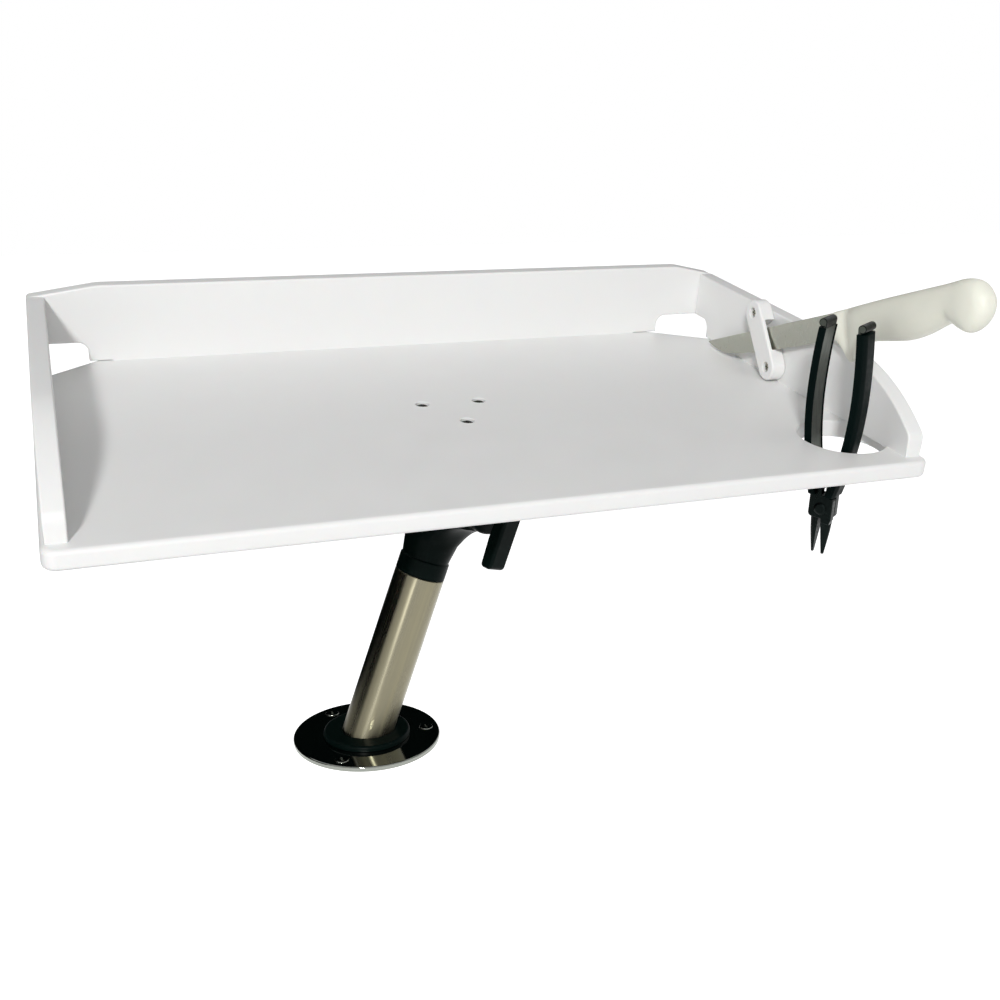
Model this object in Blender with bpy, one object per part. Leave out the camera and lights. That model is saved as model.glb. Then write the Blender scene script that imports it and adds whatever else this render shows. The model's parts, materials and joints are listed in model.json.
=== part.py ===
"""Bait board: a polyethylene tray on a tilting knuckle, a leaning tube and a deck flange.

A knife is pushed behind a keeper on the right wall, and pliers stand in a hole in the tray.
The origin is the centre of the flange's underside, +Z is square to the flange, +X runs along
the tray's width and +Y towards its back wall.
"""

import math
from collections import namedtuple

import bmesh
import bpy
from mathutils import Matrix, Vector

# Clearances
GAP = 0.0003
OVER = 0.002

# Tray
SHEET = 0.0127
TRAY_WIDTH = 0.552
TRAY_DEPTH = 0.316
BASE_LIP = 0.0025
BASE_CORNER = 0.009
BASE_EDGE = 0.003
WALL_EDGE = 0.0012
BACK_HEIGHT = 0.0590
BACK_SLOPE_DROP = 0.0075
BACK_SLOPE_LEFT = 0.050
BACK_SLOPE_RIGHT = 0.036
SIDE_HEIGHT = 0.052
SIDE_SWEEP_START = 0.108
SIDE_SWEEP = 0.150
SIDE_NOSE = 0.010
SIDE_SETBACK = 0.0098
DRAIN_LEFT = 0.028
DRAIN_RIGHT = 0.038
DRAIN_DEPTH = 0.023
DRAIN_HEIGHT = 0.015
DRAIN_ROUND = 0.008
PLIER_HOLE_FROM_RIGHT = 0.0215
PLIER_HOLE_Y = 0.0545
PLIER_HOLE = 0.0315

# Screws: head radius, rim height, whether the head is a cone, shank radius and length
Screw = namedtuple("Screw", "head rim cone shank length")
WALL_SCREW = Screw(0.0042, 0.0003, True, 0.0021, 0.032)
CORNER_SCREW = Screw(0.0042, 0.0003, True, 0.0021, 0.036)
MOUNT_SCREW = Screw(0.0048, 0.0032, False, 0.0030, 0.0162)
KEEPER_SCREW = Screw(0.0038, 0.0026, False, 0.0019, 0.021)
FLANGE_SCREW = Screw(0.0052, 0.0006, True, 0.0026, 0.0043)
SWIVEL_SCREW = Screw(0.0042, 0.0024, False, 0.0025, 0.0061)
SIDE_SCREW_FRONT = 0.115
SIDE_SCREW_REAR = 0.054
BACK_SCREW_END = 0.060
CORNER_SCREW_HEIGHTS = (0.027, 0.042)
MOUNT_SINK = 0.0013
MOUNT_CIRCLE = 0.0252
MOUNT_ANGLES = (30, 150, 270)
KEEPER_SINK = 0.0016

# Flange, tube and foot
FLANGE_RADIUS = 0.056
FLANGE_THICK = 0.004
FLANGE_EDGE = 0.0012
FLANGE_CIRCLE = 0.046
FLANGE_ANGLES = (-8, 112, 232)
FLANGE_PROUD = 0.0006
TUBE_RADIUS = 0.01905
TUBE_WALL = 0.00165
TUBE_LEAN = math.radians(20)
FOOT_RADIUS = 0.033
FOOT_HEIGHT = 0.004

# Knuckle
KNUCKLE_REACH = 0.212
KNUCKLE_RADIUS = 0.0315
KNUCKLE_HALF = 0.0407
COLLAR_END = 0.080
COLLAR_START = 0.067
COLLAR_STEP = 0.0009
ARCH_RADIUS = 0.020
NECK_DEPTH = 0.020
SPIGOT_LENGTH = 0.035
GROOVE_PLACE = 0.017
GROOVE_HALF = 0.003
GROOVE_DEPTH = 0.0022
TONGUE_HALF = 0.013
TONGUE_RADIUS = 0.028
TONGUE_CLEARANCE = 0.0015
DISC_THICK = 0.0015
DISC_RADIUS = 0.027
BRACKET_RADIUS = 0.038
BRACKET_THICK = 0.006
BOLT_RADIUS = 0.005
BOLT_HEAD_FLATS = 0.017
BOLT_HEAD_THICK = 0.0063
BOLT_END = 0.056
WASHER_RADIUS = 0.011
WASHER_THICK = 0.0008

# Clamp lever
LEVER_HUB = 0.031
LEVER_HUB_THICK = 0.0064
LEVER_BOSS = 0.013
LEVER_ARM_FACE = 0.0684
LEVER_ARM_THICK = 0.0112
LEVER_ARM_TIP_THICK = 0.0100
LEVER_ARM_HALF = 0.0085
LEVER_REACH = 0.0516
INSERT_RADIUS = 0.008
INSERT_LENGTH = 0.0146

# Board on its mount
BOARD_PITCH = math.radians(10)
PIVOT_LEFT_OF_MIDDLE = 0.003
PIVOT_BEHIND_MIDDLE = 0.007
PIVOT_DROP = 0.052

# Keeper and knife
KEEPER_FROM_BACK = 0.1259
KEEPER_Z = 0.0302
KEEPER_TURN = math.radians(51.1)
KEEPER_HALF = 0.0105
KEEPER_SCREW_SPAN = 0.0471
KEEPER_SLOT = 0.026
BLADE_STANDOFF = 0.008
SPINE_BEHIND_KEEPER = 0.0006
BLADE_SPINE_Z = 0.0394
BLADE_PITCH = math.radians(24)
BLADE_YAW = math.radians(2.2)
BLADE_THICK = 0.002
BLADE_EDGE_THICK = 0.0003
HANDLE_FRONT = -0.0880
TANG_LENGTH = 0.070
TANG_TOP = -0.006
TANG_BOTTOM = -0.014

# Pliers
PLIERS_HEADING = math.radians(-60)
PLIERS_LEAN = math.radians(3.1)
PIVOT_DEPTH = 0.050
JOINT_RADIUS = 0.009
JOINT_THICK = 0.011
JOINT_INSET = 0.0004
TANG_TOP_DEPTH = 0.033
HANDLE_ROOT = 0.0055
HANDLE_BULGE = 0.0164
HANDLE_BULGE_Z = 0.035
HANDLE_TIP = 0.0132
HANDLE_TOP = 0.0862
GRIP_HALF_WIDTH = 0.00975
GRIP_THICK = 0.0052
GRIP_TOP = 0.0804
GRIP_DEPTH = 0.039
STRIP_HALF_WIDTH = 0.0082
STRIP_THICK = 0.0018
STRIP_INSET = 0.0006
STRIP_DEPTH = 0.041
ROLL_RADIUS = 0.003
JAW_OPEN = math.radians(4.7)
JAW_ROOT_OVERLAP = 0.004
JAW_ROOT_INSET = 0.0008
RIVET_RADIUS = 0.003
RIVET_HEAD = 0.0046
RIVET_HEAD_THICK = 0.0009

# Facets of round shapes
ROUND = 40
SMALL = 12
MEDIUM = 24

# Places worked out from the sizes above
TUBE_AXIS = Vector((math.sin(TUBE_LEAN), 0, math.cos(TUBE_LEAN)))
FLANGE_TOP = Vector((0, 0, FLANGE_THICK))
KNUCKLE = FLANGE_TOP + TUBE_AXIS * KNUCKLE_REACH
BOARD_TURN = Matrix.Rotation(BOARD_PITCH, 3, "X")
HINGE_AXIS = TUBE_AXIS.cross(BOARD_TURN @ Vector((0, 0, 1))).normalized()
HINGE_ON_BOARD = BOARD_TURN.inverted() @ HINGE_AXIS
TUBE_BORE = TUBE_RADIUS - TUBE_WALL
SPIGOT_RADIUS = TUBE_BORE - GAP
EAR_INSIDE = TONGUE_HALF + DISC_THICK + 2 * GAP
HUB_FACE = KNUCKLE_HALF + WASHER_THICK + 2 * GAP
BRACKET_TOP = PIVOT_DROP - SHEET - GAP
BRACKET_BOTTOM = BRACKET_TOP - BRACKET_THICK
BACK_FACE = TRAY_DEPTH + SHEET
OUTER_LEFT = -SHEET
OUTER_RIGHT = TRAY_WIDTH + SHEET
PIVOT_X = TRAY_WIDTH / 2 - PIVOT_LEFT_OF_MIDDLE
PIVOT_Y = TRAY_DEPTH / 2 + PIVOT_BEHIND_MIDDLE
PLIER_HOLE_X = TRAY_WIDTH - PLIER_HOLE_FROM_RIGHT
KEEPER_Y = TRAY_DEPTH - KEEPER_FROM_BACK
BLADE_SPINE_Y = KEEPER_Y + SPINE_BEHIND_KEEPER


def clear_scene():
    for obj in list(bpy.data.objects):
        bpy.data.objects.remove(obj)


def linear(value):
    return value / 12.92 if value <= 0.04045 else ((value + 0.055) / 1.055) ** 2.4


def finish(name, colour, roughness, metallic=0.0):
    """A plain material: the colour is an sRGB hex value."""
    made = bpy.data.materials.new(name)
    made.use_nodes = True
    shader = made.node_tree.nodes["Principled BSDF"]
    parts = [linear(int(colour[i : i + 2], 16) / 255) for i in (0, 2, 4)]
    shader.inputs["Base Color"].default_value = (*parts, 1)
    shader.inputs["Roughness"].default_value = roughness
    shader.inputs["Metallic"].default_value = metallic
    return made


def frame(name, parent=None, location=(0, 0, 0), axes=None):
    """An empty that carries pieces; axes are its X, Y and Z directions under the parent."""
    empty = bpy.data.objects.new(name, None)
    bpy.context.collection.objects.link(empty)
    empty.empty_display_size = 0.03
    empty.parent = parent
    empty.location = location
    if axes:
        empty.rotation_euler = Matrix(axes).transposed().to_euler()
    return empty


# Shapes


def along(axis, first, second, level):
    """A point by its two in-plane coordinates and its level along the axis."""
    places = {
        "X": (level, first, second),
        "Y": (first, level, second),
        "Z": (first, second, level),
    }
    return Vector(places[axis])


def outward(bm):
    """The shape with its faces turned outward."""
    bmesh.ops.recalc_face_normals(bm, faces=bm.faces)
    if bm.calc_volume(signed=True) < 0:
        bmesh.ops.reverse_faces(bm, faces=bm.faces)
    return bm


def prism(outline, low, high, axis="Z"):
    """An outline extruded along the axis."""
    bm = bmesh.new()
    face = bm.faces.new([bm.verts.new(along(axis, *point, low)) for point in outline])
    grown = bmesh.ops.extrude_face_region(bm, geom=[face])["geom"]
    lifted = [item for item in grown if isinstance(item, bmesh.types.BMVert)]
    bmesh.ops.translate(bm, vec=along(axis, 0, 0, high - low), verts=lifted)
    return outward(bm)


def block(low, high):
    outline = [(low[0], low[1]), (high[0], low[1]), (high[0], high[1]), (low[0], high[1])]
    return prism(outline, low[2], high[2])


def turned(profile, sides, axis="Z", ring=False):
    """A turned solid: the profile is a list of (radius, level); a ring's profile is closed."""
    bm = bmesh.new()
    verts = [bm.verts.new((radius, 0, level)) for radius, level in profile]
    pairs = list(zip(verts, verts[1:]))
    if ring:
        pairs.append((verts[-1], verts[0]))
    edges = [bm.edges.new(pair) for pair in pairs]
    bmesh.ops.spin(bm, geom=verts + edges, axis=(0, 0, 1), cent=(0, 0, 0),
                   angle=math.tau, steps=sides, use_merge=True)
    bmesh.ops.remove_doubles(bm, verts=bm.verts, dist=1e-6)
    if axis == "X":
        bm.transform(Matrix.Rotation(math.pi / 2, 4, "Y"))
    if axis == "Y":
        bm.transform(Matrix.Rotation(-math.pi / 2, 4, "X"))
    return outward(bm)


def rod(radius, low, high, sides, axis="Z"):
    return turned([(0, low), (radius, low), (radius, high), (0, high)], sides, axis)


def washer(inner, outer, low, high, sides, axis="Z"):
    profile = [(inner, low), (outer, low), (outer, high), (inner, high)]
    return turned(profile, sides, axis, ring=True)


def loft(rings):
    """A solid through a list of rings with the same number of points."""
    bm = bmesh.new()
    loops = [[bm.verts.new(point) for point in ring] for ring in rings]
    for one, two in zip(loops, loops[1:]):
        for i in range(len(one)):
            j = (i + 1) % len(one)
            bm.faces.new((one[i], one[j], two[j], two[i]))
    bm.faces.new(loops[0])
    bm.faces.new(loops[-1])
    return outward(bm)


def gather(*shapes):
    """Several separate shapes in one mesh, as for a cutter with many holes."""
    whole = bmesh.new()
    for shape in shapes:
        mesh = bpy.data.meshes.new("gathered")
        shape.to_mesh(mesh)
        shape.free()
        whole.from_mesh(mesh)
        bpy.data.meshes.remove(mesh)
    return whole


def arc(centre, radius, start, end, steps):
    """Points on an arc, angles in degrees."""
    angles = [math.radians(start + (end - start) * i / steps) for i in range(steps + 1)]
    return [(centre[0] + radius * math.cos(t), centre[1] + radius * math.sin(t)) for t in angles]


def stadium(one, two, radius, steps):
    """The outline of a strip with round ends between two centres."""
    heading = math.degrees(math.atan2(two[1] - one[1], two[0] - one[0]))
    outline = arc(two, radius, heading - 90, heading + 90, steps)
    return outline + arc(one, radius, heading + 90, heading + 270, steps)


def squircle(half_wide, half_high, power, sides):
    """A ring between an ellipse (power 2) and a rectangle (higher powers)."""
    ring = []
    for i in range(sides):
        t = math.tau * (i + 0.5) / sides
        reach = (abs(math.cos(t)) ** power + abs(math.sin(t)) ** power) ** (-1 / power)
        ring.append((half_wide * reach * math.cos(t), half_high * reach * math.sin(t)))
    return ring


# Objects


def solid(name, bm, material, parent):
    mesh = bpy.data.meshes.new(name)
    bm.to_mesh(mesh)
    bm.free()
    mesh.shade_smooth()
    mesh.set_sharp_from_angle(angle=math.radians(35))
    if material:
        mesh.materials.append(material)
    obj = bpy.data.objects.new(name, mesh)
    bpy.context.collection.objects.link(obj)
    obj.parent = parent
    return obj


def tool(name, bm, parent):
    """A cutter or an addition that only shapes another object."""
    obj = solid(name, bm, None, parent)
    obj.hide_render = True
    obj.display_type = "WIRE"
    return obj


def shape_with(obj, other, operation="DIFFERENCE"):
    modifier = obj.modifiers.new(other.name, "BOOLEAN")
    modifier.operation = operation
    modifier.object = other
    modifier.solver = "EXACT"


def cut(obj, name, bm):
    shape_with(obj, tool(f"{obj.name}_{name}", bm, obj.parent))


def add(obj, name, bm):
    shape_with(obj, tool(f"{obj.name}_{name}", bm, obj.parent), "UNION")


def round_edges(obj, width, angle=50, segments=2):
    modifier = obj.modifiers.new("rounded edges", "BEVEL")
    modifier.width = width
    modifier.segments = segments
    modifier.limit_method = "ANGLE"
    modifier.angle_limit = math.radians(angle)


# Screws


def screw_profile(size, clearance=0.0, rise=0.0):
    """A screw pointing down from its head's top, or with a clearance the hole for it."""
    head = size.head + clearance
    shank = size.shank + clearance
    seat = -size.rim - (size.head - size.shank if size.cone else clearance)
    profile = [(0, rise), (head, rise), (head, -size.rim if size.cone else seat)]
    profile += [(shank, seat), (shank, -size.length - clearance)]
    return profile + [(0, -size.length - clearance)]


def screw_hole(size, place, rise=OVER):
    bm = turned(screw_profile(size, GAP, rise), SMALL)
    bm.transform(place)
    return bm


def screws(names, size, places, material, parent):
    """One object for each place, all with the same mesh."""
    mesh = None
    for name, place in zip(names, places):
        if mesh is None:
            obj = solid(name, turned(screw_profile(size), SMALL), material, parent)
            mesh = obj.data
        else:
            obj = bpy.data.objects.new(name, mesh)
            bpy.context.collection.objects.link(obj)
            obj.parent = parent
        obj.location = place.to_translation()
        obj.rotation_euler = place.to_euler()


def facing(direction, location):
    """A place whose local +Z, the way out of the screw's head, is the direction."""
    turn = Vector(direction).to_track_quat("Z", "Y").to_matrix().to_4x4()
    return Matrix.Translation(location) @ turn


# Screw places in the tray


def evenly(first, last, count):
    return [first + (last - first) * i / (count - 1) for i in range(count)]


def base_screw_places():
    """Heads in the base's underside, under the middle of each wall."""
    ys = evenly(SIDE_SCREW_FRONT, TRAY_DEPTH - SIDE_SCREW_REAR, 3)
    sides = [(OUTER_LEFT / 2, y) for y in ys]
    sides += [(TRAY_WIDTH + SHEET / 2, y) for y in ys]
    xs = evenly(BACK_SCREW_END, TRAY_WIDTH - BACK_SCREW_END, 4)
    back = [(x, TRAY_DEPTH + SHEET / 2) for x in xs]
    return [facing((0, 0, -1), (x, y, -SHEET)) for x, y in sides + back]


def corner_screw_places():
    xs = (OUTER_LEFT / 2, TRAY_WIDTH + SHEET / 2)
    return [facing((0, 1, 0), (x, BACK_FACE, z)) for x in xs for z in CORNER_SCREW_HEIGHTS]


def mount_screw_places():
    places = []
    for angle in MOUNT_ANGLES:
        t = math.radians(angle)
        x = PIVOT_X + MOUNT_CIRCLE * math.cos(t)
        y = PIVOT_Y + MOUNT_CIRCLE * math.sin(t)
        places.append(facing((0, 0, 1), (x, y, -MOUNT_SINK)))
    return places


def keeper_screw_places():
    """The upper screw, then the lower one, with heads below the keeper's face."""
    reach = KEEPER_SCREW_SPAN / 2
    x = TRAY_WIDTH - SHEET + KEEPER_SINK
    ends = []
    for side in (1, -1):
        y = KEEPER_Y + side * reach * math.cos(KEEPER_TURN)
        z = KEEPER_Z + side * reach * math.sin(KEEPER_TURN)
        ends.append(facing((-1, 0, 0), (x, y, z)))
    return ends


# Tray


def base_outline():
    """Round front corners, and each rear corner cut off through its drain."""
    left = OUTER_LEFT - BASE_LIP
    right = OUTER_RIGHT + BASE_LIP
    left_rate = DRAIN_DEPTH / DRAIN_LEFT
    right_rate = DRAIN_DEPTH / DRAIN_RIGHT
    start = TRAY_DEPTH - DRAIN_DEPTH
    outline = arc((left + BASE_CORNER, BASE_CORNER), BASE_CORNER, 180, 270, 5)
    outline += arc((right - BASE_CORNER, BASE_CORNER), BASE_CORNER, 270, 360, 5)
    outline.append((right, start - (right - TRAY_WIDTH) * right_rate))
    outline.append((TRAY_WIDTH - DRAIN_RIGHT - SHEET / right_rate, BACK_FACE))
    outline.append((DRAIN_LEFT + SHEET / left_rate, BACK_FACE))
    outline.append((left, start + left * left_rate))
    return outline


def build_base(tray, plastic):
    base = solid("base_board", prism(base_outline(), -SHEET, 0), plastic, tray)
    round_edges(base, BASE_EDGE, angle=60)
    hole = rod(PLIER_HOLE, -SHEET - OVER, OVER, ROUND)
    bmesh.ops.translate(hole, vec=(PLIER_HOLE_X, PLIER_HOLE_Y, 0), verts=hole.verts)
    cut(base, "plier_hole", hole)
    holes = [screw_hole(WALL_SCREW, place) for place in base_screw_places()]
    holes += [screw_hole(MOUNT_SCREW, place, MOUNT_SINK + OVER) for place in mount_screw_places()]
    cut(base, "screw_holes", gather(*holes))


def back_outline():
    """Seen from the front: sloped top corners and a drain notch at each lower corner."""
    low = BACK_HEIGHT - BACK_SLOPE_DROP
    nook = DRAIN_HEIGHT - DRAIN_ROUND
    left = (DRAIN_LEFT - DRAIN_ROUND, nook)
    right = (TRAY_WIDTH - DRAIN_RIGHT + DRAIN_ROUND, nook)
    outline = [(DRAIN_LEFT, GAP), (TRAY_WIDTH - DRAIN_RIGHT, GAP)]
    outline += arc(right, DRAIN_ROUND, 180, 90, 4)
    outline += [(OUTER_RIGHT, DRAIN_HEIGHT), (OUTER_RIGHT, low)]
    outline += [(OUTER_RIGHT - BACK_SLOPE_RIGHT, BACK_HEIGHT)]
    outline += [(OUTER_LEFT + BACK_SLOPE_LEFT, BACK_HEIGHT)]
    outline += [(OUTER_LEFT, low), (OUTER_LEFT, DRAIN_HEIGHT)]
    return outline + arc(left, DRAIN_ROUND, 90, 0, 4)


def side_outline():
    """Seen from the side, (y, z): level top, long sweep to a round nose, and the drain notch."""
    sweep = (SIDE_SWEEP_START, SIDE_HEIGHT - SIDE_SWEEP)
    nose_y = SIDE_SETBACK + SIDE_NOSE
    inner = SIDE_SWEEP - SIDE_NOSE
    nose_z = sweep[1] + math.sqrt(inner**2 - (sweep[0] - nose_y) ** 2)
    meet = math.degrees(math.atan2(nose_z - sweep[1], nose_y - sweep[0]))
    rear = TRAY_DEPTH - GAP
    notch = (TRAY_DEPTH - DRAIN_DEPTH + DRAIN_ROUND, DRAIN_HEIGHT - DRAIN_ROUND)
    outline = [(TRAY_DEPTH - DRAIN_DEPTH, GAP), (SIDE_SETBACK, GAP)]
    outline += arc((nose_y, nose_z), SIDE_NOSE, 180, meet, 4)
    outline += arc(sweep, SIDE_SWEEP, meet, 90, 10)[1:]
    outline += [(rear, SIDE_HEIGHT), (rear, DRAIN_HEIGHT)]
    return outline + arc(notch, DRAIN_ROUND, 90, 180, 4)


def build_walls(tray, plastic):
    back = prism(back_outline(), TRAY_DEPTH, BACK_FACE, "Y")
    left = prism(side_outline(), OUTER_LEFT, 0, "X")
    right = prism(side_outline(), TRAY_WIDTH, OUTER_RIGHT, "X")
    holes = {
        "back_wall": (WALL_SCREW, base_screw_places()[6:], CORNER_SCREW, corner_screw_places()),
        "left_wall": (WALL_SCREW, base_screw_places()[:3], CORNER_SCREW, corner_screw_places()[:2]),
        "right_wall": (WALL_SCREW, base_screw_places()[3:6], CORNER_SCREW, corner_screw_places()[2:]),
    }
    for name, bm in (("back_wall", back), ("left_wall", left), ("right_wall", right)):
        wall = solid(name, bm, plastic, tray)
        round_edges(wall, WALL_EDGE, angle=60, segments=1)
        upright, upright_places, level, level_places = holes[name]
        drilled = [screw_hole(upright, place) for place in upright_places]
        drilled += [screw_hole(level, place) for place in level_places]
        if name == "right_wall":
            drilled += [screw_hole(KEEPER_SCREW, place) for place in keeper_screw_places()]
        cut(wall, "screw_holes", gather(*drilled))


def build_tray_screws(tray, steel):
    names = [f"left_wall_screw_{i}" for i in (1, 2, 3)]
    names += [f"right_wall_screw_{i}" for i in (1, 2, 3)]
    names += [f"back_wall_screw_{i}" for i in (1, 2, 3, 4)]
    screws(names, WALL_SCREW, base_screw_places(), steel, tray)
    corners = [f"{side}_corner_screw_{i}" for side in ("left", "right") for i in (1, 2)]
    screws(corners, CORNER_SCREW, corner_screw_places(), steel, tray)
    names = [f"mount_screw_{i}" for i in (1, 2, 3)]
    screws(names, MOUNT_SCREW, mount_screw_places(), steel, tray)


# Keeper


def build_keeper(tray, plastic, steel):
    """A strip with round ends, bridging the blade between its two screwed feet."""
    along_strip = Vector((0, math.cos(KEEPER_TURN), math.sin(KEEPER_TURN)))
    middle = Vector((0, KEEPER_Y, KEEPER_Z))
    ends = [middle + along_strip * side * KEEPER_SCREW_SPAN / 2 for side in (-1, 1)]
    outline = stadium(ends[0].yz, ends[1].yz, KEEPER_HALF, 6)
    inner_face = TRAY_WIDTH - SHEET
    strip = prism(outline, inner_face, TRAY_WIDTH - GAP, "X")
    keeper = solid("knife_keeper", strip, plastic, tray)
    slot_face = TRAY_WIDTH - BLADE_STANDOFF - BLADE_THICK / 2 - 3 * GAP
    half = KEEPER_SLOT / 2
    slot = block((-half, -KEEPER_HALF - OVER, slot_face), (half, KEEPER_HALF + OVER, TRAY_WIDTH + OVER))
    across = along_strip.cross(Vector((1, 0, 0)))
    turn = Matrix((along_strip, -across, (1, 0, 0))).transposed().to_4x4()
    slot.transform(Matrix.Translation(middle) @ turn)
    cut(keeper, "slot", slot)
    places = keeper_screw_places()
    rise = KEEPER_SINK + OVER
    cut(keeper, "screw_holes", gather(*[screw_hole(KEEPER_SCREW, p, rise) for p in places]))
    names = ("keeper_screw_upper", "keeper_screw_lower")
    screws(names, KEEPER_SCREW, places, steel, tray)


# Knife

# Stations along the blade: distance towards the tip and the cutting edge below the spine
BLADE_STATIONS = (
    (-0.0030, -0.0185),
    (0.0200, -0.0172),
    (0.0430, -0.0155),
    (0.0620, -0.0122),
    (0.0745, -0.0072),
    (0.0820, -0.0024),
    (0.0846, -0.0006),
)
BLADE_HEEL = -0.0199

# Stations along the handle, from its front: top, bottom and half thickness
HANDLE_STATIONS = (
    (0.0000, 0.0006, -0.0200, 0.0062),
    (0.0040, 0.0008, -0.0232, 0.0066),
    (0.0085, 0.0010, -0.0285, 0.0058),
    (0.0122, 0.0010, -0.0366, 0.0042),
    (0.0146, 0.0010, -0.0386, 0.0036),
    (0.0180, 0.0012, -0.0375, 0.0042),
    (0.0225, 0.0013, -0.0322, 0.0064),
    (0.0300, 0.0015, -0.0278, 0.0090),
    (0.0420, 0.0018, -0.0266, 0.0105),
    (0.0590, 0.0022, -0.0284, 0.0114),
    (0.0770, 0.0024, -0.0301, 0.0117),
    (0.0940, 0.0025, -0.0287, 0.0114),
    (0.1110, 0.0026, -0.0247, 0.0105),
    (0.1200, 0.0027, -0.0237, 0.0102),
    (0.1260, 0.0030, -0.0283, 0.0104),
    (0.1333, 0.0032, -0.0320, 0.0108),
    (0.1400, 0.0022, -0.0308, 0.0104),
    (0.1460, -0.0007, -0.0272, 0.0092),
    (0.1505, -0.0068, -0.0216, 0.0062),
    (0.1522, -0.0115, -0.0170, 0.0028),
)


def wedge(x, top, bottom, top_half, bottom_half):
    return [(x, -top_half, top), (x, top_half, top), (x, bottom_half, bottom), (x, -bottom_half, bottom)]


def build_knife(knife, steel, polymer):
    """Blade along +X from the keeper, spine at the top; the handle runs back from it."""
    half = BLADE_THICK / 2
    edge_half = BLADE_EDGE_THICK / 2
    tang_end = HANDLE_FRONT - TANG_LENGTH
    shoulder = HANDLE_FRONT + GAP
    rings = [wedge(tang_end, TANG_TOP, TANG_BOTTOM, half, half)]
    rings += [wedge(shoulder - GAP / 3, TANG_TOP, TANG_BOTTOM, half, half)]
    rings += [wedge(shoulder, 0, BLADE_HEEL, half, edge_half)]
    for x, edge in BLADE_STATIONS:
        spine_half = half if x < BLADE_STATIONS[-2][0] else edge_half
        rings.append(wedge(x, 0, edge, spine_half, edge_half))
    solid("knife_blade", loft(rings), steel, knife)

    rings = []
    for back, top, bottom, thick in HANDLE_STATIONS:
        middle = (top + bottom) / 2
        ring = squircle(thick, (top - bottom) / 2, 2.3, 16)
        rings.append([(HANDLE_FRONT - back, y, middle + z) for y, z in ring])
    handle = solid("knife_handle", loft(rings), polymer, knife)
    low = (tang_end - GAP, -half - GAP, TANG_BOTTOM - GAP)
    high = (HANDLE_FRONT + OVER, half + GAP, TANG_TOP + GAP)
    cut(handle, "tang_slot", block(low, high))


# Pliers

# Stations down a jaw: depth below the tray's top, thickness and half width
JAW_STATIONS = (
    (0.0600, 0.0070, 0.0040),
    (0.0730, 0.0048, 0.0028),
    (0.0865, 0.0018, 0.0011),
)


def handle_offset(z):
    """Half the distance between the handles' middles at a height: they bulge and draw in again."""
    end, end_z = (HANDLE_ROOT, -STRIP_DEPTH) if z < HANDLE_BULGE_Z else (HANDLE_TIP, HANDLE_TOP)
    reach = (z - HANDLE_BULGE_Z) / (end_z - HANDLE_BULGE_Z)
    return HANDLE_BULGE - (HANDLE_BULGE - end) * reach**2


def handle_side(offset, low, high, steps=9):
    """Points that follow the handle upward, at an offset from its middle."""
    heights = [low + (high - low) * i / steps for i in range(steps + 1)]
    return [(handle_offset(z) + offset, z) for z in heights]


def handle_band(inside, outside, low, high):
    return handle_side(outside, low, high) + handle_side(inside, low, high)[::-1]


def strip_outline(inside, outside, low):
    """A handle's steel strip, with its top end rolled outward."""
    centre = (handle_offset(HANDLE_TOP) + inside + ROLL_RADIUS, HANDLE_TOP)
    meet = math.acos((outside - inside - ROLL_RADIUS) / ROLL_RADIUS)
    shoulder = HANDLE_TOP - ROLL_RADIUS * math.sin(meet)
    rising = handle_side(outside, low, shoulder)[:-1]
    falling = handle_side(inside, low, HANDLE_TOP)[-2::-1]
    return rising + arc(centre, ROLL_RADIUS, -math.degrees(meet), 180, 10) + falling


def jaw_face(depth):
    """How far a jaw's inner face stands off the middle: the faces meet when the jaws close."""
    return GAP / 2 + (depth - PIVOT_DEPTH) * math.tan(JAW_OPEN)


def joint_outline(strip_in, strip_out):
    """The round joint plate, with a tang up into its strip and a root down to its jaw."""
    pivot = (0, -PIVOT_DEPTH)
    weld = handle_offset(-TANG_TOP_DEPTH)
    root, thick, _ = JAW_STATIONS[0]
    low = -root - JAW_ROOT_OVERLAP
    shoulder = HANDLE_ROOT + strip_out - JOINT_INSET
    outline = [(weld + strip_out - JOINT_INSET, -TANG_TOP_DEPTH)]
    outline += [(weld + strip_in + JOINT_INSET, -TANG_TOP_DEPTH)]
    outline += arc(pivot, JOINT_RADIUS, 75, 215, 8)
    outline += [(-jaw_face(root) - thick + JOINT_INSET, low), (-jaw_face(root) - JAW_ROOT_INSET, low)]
    outline += arc(pivot, JOINT_RADIUS, 265, 405, 8)
    outline.append((shoulder, -STRIP_DEPTH - JOINT_INSET))
    return outline


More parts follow.
